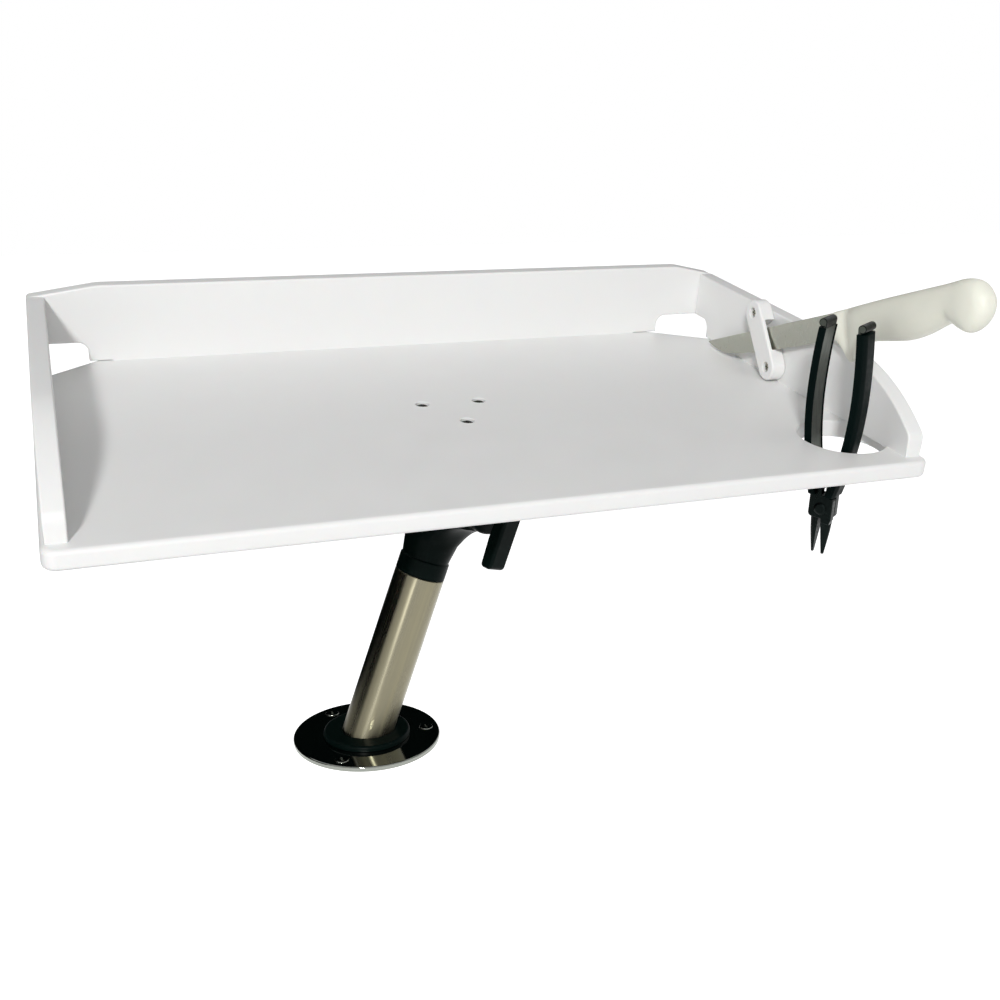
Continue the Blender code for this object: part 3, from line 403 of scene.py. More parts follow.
class BAITBOARD_PG_sizes(bpy.types.PropertyGroup):
    """Small sizes that finish the pieces."""

    base_edge: length("Base edge", "Rounding of the base board's edges", 0.003)
    wall_edge: length("Wall edge", "Rounding of the three walls' edges", 0.0013)
    hole_chamfer: length("Hole chamfer", "Chamfer round the plier hole", 0.0009)
    screw_chamfer: length("Counterbore chamfer", "Bright chamfer round the sunk screws", 0.0005)
    keeper_edge: length("Keeper edge", "Rounding of the knife keeper", 0.0016)
    moulded_edge: length("Moulded edge", "Rounding of the moulded mount's edges", 0.0016)
    recess_width: length("Recess width", "Width of a screw's cross recess", 0.0013)
    recess_depth: length("Recess depth", "Depth of a screw's cross recess", 0.0016)
    tooth_pitch: length("Tooth pitch", "Distance between the pliers' jaw teeth", 0.0011)
    tooth_height: length("Tooth height", "Height of a jaw tooth", 0.00012)


class BAITBOARD_PG_colours(bpy.types.PropertyGroup):
    """Colours of the finishes."""

    sheet: colour("Tray sheet", "White polyethylene of the tray", "EDEDEC")
    nylon: colour("Mount", "Black glass-filled nylon of the mount", "040E0C")
    handle: colour("Knife handle", "Off-white polymer of the knife handle", "ECECDF")
    rubber: colour("Grips", "Black rubber of the plier grips", "030D0C")
    strip: colour("Plier steel", "Grey of the pliers' bent handle strips", "4C504A")
    black_steel: colour("Plier joint", "Blackened steel of the joint and jaws", "131817")
    tube: colour("Tube", "Polished stainless steel of the tube", "827F72")
    mirror: colour("Flange", "Mirror-polished stainless steel of the flange", "90938D")
    blade: colour("Blade", "Satin stainless steel of the blade", "B5B6AC")
    fastener: colour("Fasteners", "Stainless steel of the screws and bolt", "B4B4AC")
    brass: colour("Insert", "Brass of the lever's threaded insert", "B08D3C")
    pad: colour("Friction pad", "Grey of the friction discs", "2A2A28")


class BAITBOARD_PG_stage(bpy.types.PropertyGroup):
    """Camera, lamps and floor."""

    camera_place: bpy.props.FloatVectorProperty(
        name="Camera place", description="Where the camera stands",
        default=(-0.1996, -0.8169, 0.4198), subtype="TRANSLATION", unit="LENGTH",
    )
    camera_turn: bpy.props.FloatVectorProperty(
        name="Camera turn", description="How the camera is turned",
        default=[math.radians(a) for a in (74.583, 0.0812, -20.7744)], subtype="EULER",
    )
    lens: number("Lens", "Focal length in millimetres on a 36 mm sensor", 42.76)
    key_light: number("Key lamp", "Watts of the lamp far off at the front left", 99)
    top_light: number("Top lamp", "Watts of the lamp overhead", 1.0)
    room_light: number("Room light", "Strength of the light from all round", 0.36)
    floor: colour("Floor", "Pale plain floor", "F2F2F2")


# Mesh shapes


def evenly(first, last, count):
    return [first + (last - first) * i / (count - 1) for i in range(count)]


def along(axis, first, second, level):
    """A point by its two in-plane coordinates and its level along the axis."""
    return {
        "X": (level, first, second), "Y": (first, level, second), "Z": (first, second, level),
    }[axis]


def outward(bm):
    """The closed shape with its faces turned outward."""
    bmesh.ops.recalc_face_normals(bm, faces=bm.faces)
    if bm.calc_volume(signed=True) < 0:
        bmesh.ops.reverse_faces(bm, faces=bm.faces)
    return bm


def loft(rings, capped=True):
    """A solid through rings with the same number of points; uncapped, the last meets the first."""
    bm = bmesh.new()
    loops = [[bm.verts.new(point) for point in ring] for ring in rings]
    pairs = list(zip(loops, loops[1:]))
    if not capped:
        pairs.append((loops[-1], loops[0]))
    for one, two in pairs:
        for i in range(len(one)):
            j = (i + 1) % len(one)
            bm.faces.new((one[i], one[j], two[j], two[i]))
    if capped:
        bm.faces.new(loops[0])
        bm.faces.new(loops[-1])
    return outward(bm)


def turned(profile, sides, axis="Z", ring=False):
    """A turned solid: the profile is a list of (radius, level); a ring's profile is closed."""
    bm = bmesh.new()
    verts = [bm.verts.new((radius, 0, level)) for radius, level in profile]
    pairs = list(zip(verts, verts[1:]))
    if ring:
        pairs.append((verts[-1], verts[0]))
    edges = [bm.edges.new(pair) for pair in pairs]
    bmesh.ops.spin(bm, geom=verts + edges, axis=(0, 0, 1), cent=(0, 0, 0),
                   angle=math.tau, steps=sides, use_merge=True)
    bmesh.ops.remove_doubles(bm, verts=bm.verts, dist=SAME_POINT)
    if axis == "X":
        bm.transform(Matrix.Rotation(math.pi / 2, 4, "Y"))
    if axis == "Y":
        bm.transform(Matrix.Rotation(-math.pi / 2, 4, "X"))
    return outward(bm)


def rod(radius, low, high, axis="Z", sides=SMALL_ROUND):
    """A plain bar, round or with a few flats."""
    return turned([(0, low), (radius, low), (radius, high), (0, high)], sides, axis)


def disc(radius, levels, softs, axis="Z", sides=LARGE_ROUND, steps=6):
    """A round disc between two levels, each rim with its own rounding."""
    low, high = levels
    profile = [(0, low, 0), (radius, low, softs[0]), (radius, high, softs[1]), (0, high, 0)]
    return turned(rounded(profile, steps, closed=False), sides, axis)


def moved(bm, place):
    bm.transform(place)
    return bm


def arc(centre, radius, start, end, steps):
    """Points on an arc, angles in degrees."""
    turns = [math.radians(angle) for angle in evenly(start, end, steps + 1)]
    return [(centre[0] + radius * math.cos(t), centre[1] + radius * math.sin(t)) for t in turns]


def stadium(one, two, radius, steps):
    """The outline of a strip with round ends between two centres."""
    heading = math.degrees(math.atan2(two[1] - one[1], two[0] - one[0]))
    outline = arc(two, radius, heading - 90, heading + 90, steps)
    return outline + arc(one, radius, heading + 90, heading + 270, steps)


def squircle(half_wide, half_high, power, sides):
    """A ring between an ellipse (power 2) and a rectangle (higher powers)."""
    ring = []
    for i in range(sides):
        t = math.tau * (i + 0.5) / sides
        reach = (abs(math.cos(t)) ** power + abs(math.sin(t)) ** power) ** (-1 / power)
        ring.append((half_wide * reach * math.cos(t), half_high * reach * math.sin(t)))
    return ring


def rounded(points, steps=6, closed=True):
    """An outline or profile with its corners rounded: each point is (x, y, radius)."""
    made = []
    count = len(points)
    for i, (x, y, radius) in enumerate(points):
        here = Vector((x, y))
        ends = not closed and i in (0, count - 1)
        if radius <= 0 or ends:
            made.append((x, y))
            continue
        back = (Vector(points[i - 1][:2]) - here).normalized()
        ahead = (Vector(points[(i + 1) % count][:2]) - here).normalized()
        half = back.angle(ahead) / 2
        reach = radius / math.tan(half)
        middle = here + (back + ahead).normalized() * radius / math.sin(half)
        start, end = here + back * reach - middle, here + ahead * reach - middle
        swing = start.angle_signed(end)
        for step in range(steps + 1):
            turn = Matrix.Rotation(-swing * step / steps, 2)
            made.append(tuple(middle + turn @ start))
    return made


def tidy_outline(outline):
    """The outline anticlockwise, without points that fall together."""
    kept = [point for i, point in enumerate(outline)
            if (Vector(point) - Vector(outline[i - 1])).length > SAME_POINT]
    area = sum(a[0] * b[1] - b[0] * a[1] for a, b in zip(kept, kept[1:] + kept[:1]))
    return kept if area > 0 else kept[::-1]


def inset(outline, distance):
    """An anticlockwise outline moved inward all round.

    At a sharp corner it moves no further than 2.5 times the distance.
    """
    corners = []
    count = len(outline)
    for i in range(count):
        before, here, after = (Vector(outline[k % count]) for k in (i - 1, i, i + 1))
        one, two = (here - before).normalized(), (after - here).normalized()
        left = Vector((-one.y, one.x))
        middle = (left + Vector((-two.y, two.x))).normalized()
        corners.append(tuple(here + middle * distance / max(middle.dot(left), 1 / 2.5)))
    return corners


def slab(outline, low, high, edge, axis="Z", steps=4):
    """An outline extruded along the axis, with its two rims rounded over.

    A narrow flat strip inside each rim keeps the flat faces evenly lit.
    """
    outline = tidy_outline(outline)
    rings = [(low, edge + FLAT_STRIP)]
    turns = [math.pi / 2 * i / steps for i in range(steps + 1)]
    for t in reversed(turns):
        rings.append((low + edge * (1 - math.sin(t)), edge * (1 - math.cos(t))))
    for t in turns:
        rings.append((high - edge * (1 - math.sin(t)), edge * (1 - math.cos(t))))
    rings.append((high, edge + FLAT_STRIP))
    return loft([
        [along(axis, *point, level) for point in inset(outline, distance)]
        for level, distance in rings
    ])


def gather(*shapes):
    """Several closed shapes in one mesh."""
    whole = bmesh.new()
    for shape in shapes:
        mesh = bpy.data.meshes.new("gathered")
        shape.to_mesh(mesh)
        shape.free()
        whole.from_mesh(mesh)
        bpy.data.meshes.remove(mesh)
    return whole


def smooth_stations(stations, steps):
    """Rows of numbers with a smooth curve through them."""
    rows = [stations[0], *stations, stations[-1]]
    made = []
    for a, b, c, d in zip(rows, rows[1:], rows[2:], rows[3:]):
        for step in range(steps):
            t = step / steps
            made.append(tuple(
                0.5 * (2 * q + (r - p) * t + (2 * p - 5 * q + 4 * r - s) * t**2
                       + (3 * q - p - 3 * r + s) * t**3)
                for p, q, r, s in zip(a, b, c, d)
            ))
    return made + [tuple(stations[-1])]


# Objects


def into_scene(name, data):
    """A new object for a mesh, a lamp or a camera."""
    made = bpy.data.objects.new(name, data)
    bpy.context.scene.collection.objects.link(made)
    return made


def new_object(name, bm):
    mesh = bpy.data.meshes.new(name)
    bm.to_mesh(mesh)
    bm.free()
    return into_scene(name, mesh)


def bake(obj):
    """Turns the object's modifiers into its mesh."""
    bpy.context.view_layer.update()
    evaluated = obj.evaluated_get(bpy.context.evaluated_depsgraph_get())
    mesh = bpy.data.meshes.new_from_object(evaluated)
    if not mesh.polygons:
        raise RuntimeError(f"{obj.name} came out empty")
    obj.modifiers.clear()
    old = obj.data
    obj.data = mesh
    bpy.data.meshes.remove(old)
    mesh.name = obj.name
    return obj


def shaded(obj, sharp=35):
    """Smooth faces, sharp edges past an angle, and flat faces that stay flat beside rounding."""
    obj.data.shade_smooth()
    obj.data.set_sharp_from_angle(angle=math.radians(sharp))
    modifier = obj.modifiers.new("flat faces", "WEIGHTED_NORMAL")
    modifier.keep_sharp = True
    modifier.weight = 80
    return bake(obj)


def shaped(name, bm, join=(), cut=()):
    """The shape with others joined to it, and then others cut out of it."""
    obj = new_object(name, bm)
    changes = [("UNION", other) for other in join] + [("DIFFERENCE", other) for other in cut]
    helpers = []
    for operation, other in changes:
        helper = new_object(f"{name}_shaper", other)
        modifier = obj.modifiers.new(helper.name, "BOOLEAN")
        modifier.operation = operation
        modifier.object = helper
        modifier.solver = "EXACT"
        helpers.append(helper)
    if changes:
        bake(obj)
    for helper in helpers:
        bpy.data.objects.remove(helper)
    return shaded(obj)


def paint(obj, material):
    obj.data.materials.clear()
    obj.data.materials.append(material)


def seat(obj, place, material, slot, *nodes):
    """Puts a finished shape at its place, on the body of the CAD nodes that it stands for."""
    obj.data.transform(place)
    paint(obj, material)
    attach(obj, frame["nodes"][nodes[0]]["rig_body"])
    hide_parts(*nodes)


# Materials


def feed(tree, socket, value):
    """Gives a socket a value, or another node's output."""
    if isinstance(value, bpy.types.NodeSocket):
        tree.links.new(value, socket)
    else:
        socket.default_value = value


def add_node(tree, kind, sockets=None, **settings):
    """Adds a node with its settings, and feeds its sockets by name or number."""
    made = tree.nodes.new(kind)
    for name, value in settings.items():
        setattr(made, name, value)
    for name, value in (sockets or {}).items():
        feed(tree, made.inputs[name], value)
    return made


def new_material(name, sockets):
    """A Principled material with these values all over, and its shader."""
    made = bpy.data.materials.new(name)
    made.use_nodes = True
    shader = made.node_tree.nodes["Principled BSDF"]
    for socket, value in sockets.items():
        shader.inputs[socket].default_value = value
    return made, shader


def tint(rgb, factor):
    """The colour made darker or lighter; three factors act on red, green and blue apart."""
    factors = factor if isinstance(factor, tuple) else (factor,) * 3
    return (*(min(1, part * by) for part, by in zip(rgb, factors)), 1)


def surface(name, rgb, sockets, spots, shine, bump=None, grain=None, smear=None):
    """A material on Object coordinates: colour spots, shine and bump that vary over it.

    spots is (cell in mm, factor of the darker colour, factor of the lighter one), shine is
    (cell in mm, smoothest roughness, roughest roughness) and bump is (cell in mm, height in
    mm). grain is (place, share): along the place's Z the pattern is 1 / share times as long.
    smear is the direction in which anisotropic reflections are drawn out.
    """
    made, shader = new_material(name, sockets)
    tree = made.node_tree
    where = add_node(tree, "ShaderNodeTexCoord").outputs["Object"]
    if grain:
        back, share = grain[0].inverted(), grain[1]
        for mapping in (
            {"Location": back.to_translation(), "Rotation": back.to_euler()},
            {"Scale": (1, 1, share)},
        ):
            where = add_node(tree, "ShaderNodeMapping", {"Vector": where, **mapping},
                             vector_type="POINT").outputs["Vector"]

    def noise(cell, detail):
        # The scale is the number of cells in a metre
        return add_node(tree, "ShaderNodeTexNoise", {
            "Vector": where, "Scale": 1000 / cell, "Detail": detail, "Roughness": 0.55,
        }).outputs["Fac"]

    cell, darker, lighter = spots
    mixed = add_node(tree, "ShaderNodeMix", {
        "Factor": noise(cell, 3.0), "A": tint(rgb, darker), "B": tint(rgb, lighter),
    }, data_type="RGBA")
    tree.links.new(mixed.outputs["Result"], shader.inputs["Base Color"])
    # Nearly all of a noise lies between 0.3 and 0.7
    cell, smooth, rough = shine
    spread = add_node(tree, "ShaderNodeMapRange", {
        "Value": noise(cell, 4.0), "From Min": 0.3, "From Max": 0.7,
        "To Min": smooth, "To Max": rough,
    })
    tree.links.new(spread.outputs["Result"], shader.inputs["Roughness"])
    if smear:
        drawn = add_node(tree, "ShaderNodeCombineXYZ", dict(zip("XYZ", smear)))
        tree.links.new(drawn.outputs["Vector"], shader.inputs["Tangent"])
    if bump:
        cell, height = bump
        raised = add_node(tree, "ShaderNodeBump", {
            "Height": noise(cell, 2.0), "Strength": 1.0, "Distance": height / 1000,
        })
        tree.links.new(raised.outputs["Normal"], shader.inputs["Normal"])
    return made


def build_materials(colours):
    """Each finish by its name."""
    metal = {"Metallic": 1.0}
    return {
        # High-density polyethylene sheet, pressed with a fine orange peel: a soft broad sheen,
        # light that enters a little way, and faint waves in what it reflects
        "sheet": surface(
            "pressed_polyethylene_sheet", colours.sheet,
            {"IOR": 1.54, "Subsurface Weight": 0.08, "Subsurface Scale": 0.002},
            spots=(60, 0.975, 1.0), shine=(25, 0.36, 0.46), bump=(2.2, 0.035),
        ),
        # Glass-filled nylon, moulded: near black, semi-gloss, with a fine spark-eroded grain
        "nylon": surface(
            "moulded_glass_filled_nylon", colours.nylon,
            {"IOR": 1.53, "Specular IOR Level": 0.035},
            spots=(14, 0.8, 1.25), shine=(9, 0.28, 0.42), bump=(0.9, 0.03),
        ),
        # Moulded polypropylene knife handle: off-white, satin, with a pebbled grip texture
        "handle": surface(
            "moulded_polypropylene", colours.handle,
            {"IOR": 1.49, "Subsurface Weight": 0.05, "Subsurface Scale": 0.001},
            spots=(22, 0.95, 1.03), shine=(6, 0.34, 0.48), bump=(0.9, 0.05),
        ),
        # Dipped vinyl rubber: black, a soft highlight and a slightly uneven skin
        "rubber": surface(
            "dipped_vinyl_rubber", colours.rubber, {"IOR": 1.52, "Specular IOR Level": 0.03},
            spots=(8, 0.75, 1.3), shine=(5, 0.34, 0.5), bump=(2.5, 0.06),
        ),
        # Bent spring steel strip, rolled: dull grey metal with streaks along the handle
        "strip": surface(
            "rolled_spring_steel", colours.strip, metal,
            spots=(3, 0.85, 1.15), shine=(2, 0.32, 0.5), grain=(PLIERS, 0.15),
        ),
        # Forged steel, blackened: dark, oily sheen, fine scale on its faces
        "black_steel": surface(
            "blackened_forged_steel", colours.black_steel, metal,
            spots=(3, 0.7, 1.4), shine=(2, 0.28, 0.45), bump=(0.8, 0.03),
        ),
        # Drawn stainless tube, polished round: its reflections smear into streaks down its
        # length, and the lighter streaks are a little warmer
        "tube": surface(
            "polished_drawn_stainless_tube", colours.tube, {**metal, "Anisotropic": 0.85},
            spots=(5, 0.66, (1.3, 1.25, 1.025)), shine=(5, 0.24, 0.36), bump=(4, 0.05),
            grain=(TUBE, 0.03), smear=TUBE_AXIS,
        ),
        # Stamped stainless disc, mirror-polished: it shows what stands round it, slightly wavy
        "mirror": surface(
            "mirror_polished_stainless", colours.mirror, metal,
            spots=(30, 0.96, 1.0), shine=(12, 0.03, 0.07), bump=(18, 0.05),
        ),
        # Ground stainless blade: satin, with grind lines across it from spine to edge
        "blade": surface(
            "satin_ground_stainless", colours.blade, metal,
            spots=(0.5, 0.96, 1.03), shine=(0.6, 0.26, 0.34), bump=(0.5, 0.002),
            grain=(KNIFE, 0.04),
        ),
        # Stainless fasteners, cold-headed and tumbled: plain metal with a soft bright edge
        "fastener": surface(
            "tumbled_stainless_fastener", colours.fastener, metal,
            spots=(2, 0.85, 1.05), shine=(1.5, 0.16, 0.3),
        ),
        # Stainless screws darkened to near black as painted shade, standing in for the dark
        # reflection in their sunk heads: a broad weak highlight
        "shade_darkened_steel": surface(
            "stainless_fastener_painted_dark", colours.fastener, metal,
            spots=(1.5, 0.05, 0.3), shine=(1.5, 0.4, 0.6), bump=(0.6, 0.02),
        ),
        # Turned brass insert: warm metal with fine turning marks
        "brass": surface(
            "turned_brass", colours.brass, metal,
            spots=(2, 0.9, 1.05), shine=(1, 0.25, 0.4),
        ),
        # Pressed fibre friction pad: matt grey with flecks
        "pad": surface(
            "pressed_friction_fibre", colours.pad, {"IOR": 1.5},
            spots=(1.2, 0.7, 1.6), shine=(2, 0.7, 0.9), bump=(0.8, 0.05),
        ),
    }


FINISHES = {}


def finish(context, name):
    """A material, made once from the panel's colours."""
    if not FINISHES:
        FINISHES.update(build_materials(context.scene.bait_board_colours))
    return FINISHES[name]


# Screws, by Geometry Nodes


def new_tree(name, inputs):
    """A Geometry Nodes tree with named inputs, and what its input node gives."""
    tree = bpy.data.node_groups.new(name, "GeometryNodeTree")
    for label, kind in {"Places": "Geometry", **inputs, "Material": "Material"}.items():
        tree.interface.new_socket(label, in_out="INPUT", socket_type=f"NodeSocket{kind}")
    tree.interface.new_socket("Pieces", in_out="OUTPUT", socket_type="NodeSocketGeometry")
    return tree, add_node(tree, "NodeGroupInput").outputs


def end_tree(tree, given, instances):
    """Ends the tree in Realize Instances and Set Material."""
    real = add_node(tree, "GeometryNodeRealizeInstances", {"Geometry": instances})
    painted = add_node(tree, "GeometryNodeSetMaterial", {
        "Geometry": real.outputs["Geometry"], "Material": given["Material"],
    })
    add_node(tree, "NodeGroupOutput", {"Pieces": painted.outputs["Geometry"]})
    return tree


def by_index(tree, values):
    """A number chosen by the point's index; each value is a number or a socket."""
    chosen = add_node(tree, "GeometryNodeIndexSwitch", data_type="FLOAT")
    while len(chosen.index_switch_items) < len(values):
        chosen.index_switch_items.new()
    index = add_node(tree, "GeometryNodeInputIndex").outputs["Index"]
    for socket, value in zip(chosen.inputs, (index, *values)):
        feed(tree, socket, value)
    return chosen.outputs["Output"]


def maths(tree, operation, one, two):
    made = add_node(tree, "ShaderNodeMath", {0: one, 1: two}, operation=operation)
    return made.outputs["Value"]


def screw_tree():
    """A screw turned from its sizes, with a cross recess, at each point along its aim."""
    sizes = ("Head Radius", "Rim Height", "Seat Height", "Seat Radius", "Shank Radius",
             "Shank Length", "Edge", "Recess Width", "Recess Depth")
    tree, given = new_tree("screws", dict.fromkeys(sizes, "Float"))
    head, rim, seat_height, seat_radius, shank, reach, edge, width, depth = (
        given[label] for label in sizes
    )

    def times(value, factor):
        return maths(tree, "MULTIPLY", value, factor)

    # From the shank's end up to the middle of the head, which is crowned a little
    step = 1e-5
    crown = times(edge, HEAD_CROWN)
    under = maths(tree, "ADD", rim, seat_height)
    levels = [
        times(reach, -1), times(under, -1), maths(tree, "SUBTRACT", step, under),
        times(rim, -1), times(edge, -1), times(crown, -1), 0.0,
    ]
    radii = [
        shank, shank, seat_radius, head, head,
        maths(tree, "SUBTRACT", head, crown), maths(tree, "SUBTRACT", head, edge),
    ]
    line = add_node(tree, "GeometryNodeMeshLine", {"Count": len(levels)})
    raised = add_node(tree, "ShaderNodeCombineXYZ", {"Z": by_index(tree, levels)})
    spine = add_node(tree, "GeometryNodeSetPosition", {
        "Geometry": line.outputs["Mesh"], "Position": raised.outputs["Vector"],
    })
    curve = add_node(tree, "GeometryNodeMeshToCurve", {"Mesh": spine.outputs["Geometry"]})
    circle = add_node(tree, "GeometryNodeCurvePrimitiveCircle", {
        "Resolution": SCREW_SIDES, "Radius": 1.0,
    })
    swept = add_node(tree, "GeometryNodeCurveToMesh", {
        "Curve": curve.outputs["Curve"], "Profile Curve": circle.outputs["Curve"],
        "Scale": by_index(tree, radii), "Fill Caps": True,
    })
    span, tall = times(head, RECESS_SPAN), times(depth, 2)
    bars = add_node(tree, "GeometryNodeJoinGeometry")
    for long_axis, short_axis in (("X", "Y"), ("Y", "X")):
        size = add_node(tree, "ShaderNodeCombineXYZ", {
            long_axis: span, short_axis: width, "Z": tall,
        })
        bar = add_node(tree, "GeometryNodeMeshCube", {"Size": size.outputs["Vector"]})
        tree.links.new(bar.outputs["Mesh"], bars.inputs["Geometry"])
    cut = add_node(tree, "GeometryNodeMeshBoolean", {
        "Mesh 1": swept.outputs["Mesh"], "Mesh 2": bars.outputs["Geometry"],
        "Self Intersection": True,
    }, operation="DIFFERENCE", solver="EXACT")
    aim = add_node(tree, "GeometryNodeInputNamedAttribute", {"Name": "aim"},
                   data_type="FLOAT_VECTOR")
    turn = add_node(tree, "FunctionNodeAlignRotationToVector", {
        "Vector": aim.outputs["Attribute"],
    }, axis="Z")
    placed = add_node(tree, "GeometryNodeInstanceOnPoints", {
        "Points": given["Places"], "Instance": cut.outputs["Mesh"],
        "Rotation": turn.outputs["Rotation"],
    })
    return end_tree(tree, given, placed.outputs["Instances"])


def run_tree(obj, tree, values):
    """The object's mesh after the tree, with the inputs set by their identifiers."""
    modifier = obj.modifiers.new(tree.name, "NODES")
    modifier.node_group = tree
    for item in tree.interface.items_tree:
        if item.in_out == "INPUT" and item.name in values:
            modifier[item.identifier] = values[item.name]
    return bake(obj)


def add_screws(context, name, size, places, place, nodes):
    """One piece with a screw at each place, heads outward."""
    sizes = context.scene.bait_board_sizes
    material = finish(context, size.finish)
    mesh = bpy.data.meshes.new(name)
    mesh.from_pydata([spot.to_translation() for spot in places], [], [])
    aims = mesh.attributes.new("aim", "FLOAT_VECTOR", "POINT")
    for item, spot in zip(aims.data, places):
        item.vector = spot.to_3x3() @ Vector((0, 0, 1))
    obj = into_scene(name, mesh)
    run_tree(obj, bpy.data.node_groups.get("screws") or screw_tree(), {
        "Head Radius": size.head, "Rim Height": size.rim - (0 if size.cone else FLAT_SEAT),
        "Seat Height": size.head - size.shank if size.cone else FLAT_SEAT,
        "Seat Radius": size.shank if size.cone else size.head,
        "Shank Radius": size.shank, "Shank Length": size.length,
        "Edge": min(size.edge, size.rim * 0.9), "Recess Width": sizes.recess_width,
        "Recess Depth": sizes.recess_depth, "Material": material,
    })
    seat(shaded(obj), place, material, "stainless", *nodes)


def numbered(stem, count):
    return [f"{stem}_{i + 1}" for i in range(count)]


def facing(direction, location):
    """A place whose local +Z, the way out of the screw's head, is the direction."""
    turn = Vector(direction).to_track_quat("Z", "Y").to_matrix().to_4x4()
    return Matrix.Translation(location) @ turn


def base_screw_places():
    """Heads in the base's underside, under the middle of each wall."""
    ys = evenly(SIDE_SCREW_FRONT, TRAY_DEPTH - SIDE_SCREW_REAR, 3)
    sides = [(OUTER_LEFT / 2, y) for y in ys] + [(TRAY_WIDTH + SHEET / 2, y) for y in ys]
    xs = evenly(BACK_SCREW_END, TRAY_WIDTH - BACK_SCREW_END, 4)
    back = [(x, TRAY_DEPTH + SHEET / 2) for x in xs]
    return [facing((0, 0, -1), (x, y, -SHEET)) for x, y in sides + back]


def corner_screw_places():
    xs = (OUTER_LEFT / 2, TRAY_WIDTH + SHEET / 2)
    return [facing((0, 1, 0), (x, BACK_FACE, z)) for x in xs for z in CORNER_SCREW_HEIGHTS]


def on_circle(centre, radius, angles, height):
    turns = [math.radians(angle) for angle in angles]
    spots = [(centre[0] + radius * math.cos(t), centre[1] + radius * math.sin(t)) for t in turns]
    return [facing((0, 0, 1), (*spot, height)) for spot in spots]


def mount_screw_places():
    return on_circle((PIVOT_X, PIVOT_Y), MOUNT_CIRCLE, MOUNT_ANGLES, -MOUNT_SINK)


def keeper_screw_places():
    """The upper one, then the lower."""
    reaches = (KEEPER_SCREW_SPAN / 2, -KEEPER_SCREW_SPAN / 2)
    return [
        facing((-1, 0, 0), (
            TRAY_WIDTH - SHEET + KEEPER_SINK,
            KEEPER_Y + reach * math.cos(KEEPER_TURN), KEEPER_Z + reach * math.sin(KEEPER_TURN),
        ))
        for reach in reaches
    ]


def screw_holes(size, places, sink=0.0, chamfer=0.0):
    """The holes for sunk screws: with a chamfer they open out at the surface."""
    head, shank = size.head + GAP, size.shank + GAP
    rise, end = sink + OVER, -size.length - GAP
    profile = [(0, rise), (head, rise)]
    if chamfer:
        profile = [(0, rise), (head + chamfer + OVER, rise), (head, rise - OVER - chamfer)]
    if size.cone:
        profile += [(head, -size.rim), (shank, -size.rim - size.head + size.shank)]
    else:
        profile += [(head, -size.rim - GAP), (shank, -size.rim - GAP)]
    profile += [(shank, end), (0, end)]
    return [moved(turned(profile, HOLE_SIDES), place) for place in places]


# Tray


def base_outline():
    """Round front corners, and each rear corner cut off through its drain."""
    left, right = OUTER_LEFT - BASE_LIP, OUTER_RIGHT + BASE_LIP
    left_rate, right_rate = DRAIN_DEPTH / DRAIN_LEFT, DRAIN_DEPTH / DRAIN_RIGHT
    start = TRAY_DEPTH - DRAIN_DEPTH
    soft = CUT_CORNER_ROUND
    return rounded([
        (left, 0, BASE_CORNER), (right, 0, BASE_CORNER),
        (right, start - (right - TRAY_WIDTH) * right_rate, soft),
        (TRAY_WIDTH - DRAIN_RIGHT - SHEET / right_rate, BACK_FACE, soft),
        (DRAIN_LEFT + SHEET / left_rate, BACK_FACE, soft),
        (left, start + left * left_rate, soft),
    ], steps=10)


def build_base(context):
    sizes = context.scene.bait_board_sizes
    edge = sizes.hole_chamfer
    wide = PLIER_HOLE + edge + OVER
    hole = turned([(0, -SHEET - OVER), (wide, -SHEET - OVER), (PLIER_HOLE, -SHEET + edge),
                   (PLIER_HOLE, -edge), (wide, OVER), (0, OVER)], LARGE_ROUND)
    hole.transform(Matrix.Translation((PLIER_HOLE_X, PLIER_HOLE_Y, 0)))
    holes = screw_holes(WALL_SCREW, base_screw_places())
    holes += screw_holes(MOUNT_SCREW, mount_screw_places(), MOUNT_SINK, sizes.screw_chamfer)
    board = slab(base_outline(), -SHEET, 0, sizes.base_edge, steps=5)
    base = shaped("tray_base", board, cut=[hole, gather(*holes)])
    seat(base, TRAY, finish(context, "sheet"), "polyethylene", "base_board")


def back_outline():
    """Seen from the front: sloped top corners and a drain notch at each lower corner."""
    low = BACK_HEIGHT - BACK_SLOPE_DROP
    clear = 0.001
    left_foot = DRAIN_LEFT * (1 + SHEET / DRAIN_DEPTH) + clear
    right_foot = TRAY_WIDTH - DRAIN_RIGHT * (1 + SHEET / DRAIN_DEPTH) - clear
    return rounded([
        (DRAIN_LEFT, GAP, 0), (left_foot, GAP, 0), (left_foot, -FOOTING, 0),
        (right_foot, -FOOTING, 0), (right_foot, GAP, 0), (TRAY_WIDTH - DRAIN_RIGHT, GAP, 0),
        (TRAY_WIDTH - DRAIN_RIGHT, DRAIN_HEIGHT, DRAIN_ROUND), (OUTER_RIGHT, DRAIN_HEIGHT, 0),
        (OUTER_RIGHT, low, BACK_END_ROUND),
        (OUTER_RIGHT - BACK_SLOPE_RIGHT, BACK_HEIGHT, BACK_ROUND_RIGHT),
        (OUTER_LEFT + BACK_SLOPE_LEFT, BACK_HEIGHT, BACK_ROUND_LEFT),
        (OUTER_LEFT, low, BACK_END_ROUND),
        (OUTER_LEFT, DRAIN_HEIGHT, 0), (DRAIN_LEFT, DRAIN_HEIGHT, DRAIN_ROUND),
    ], steps=10)


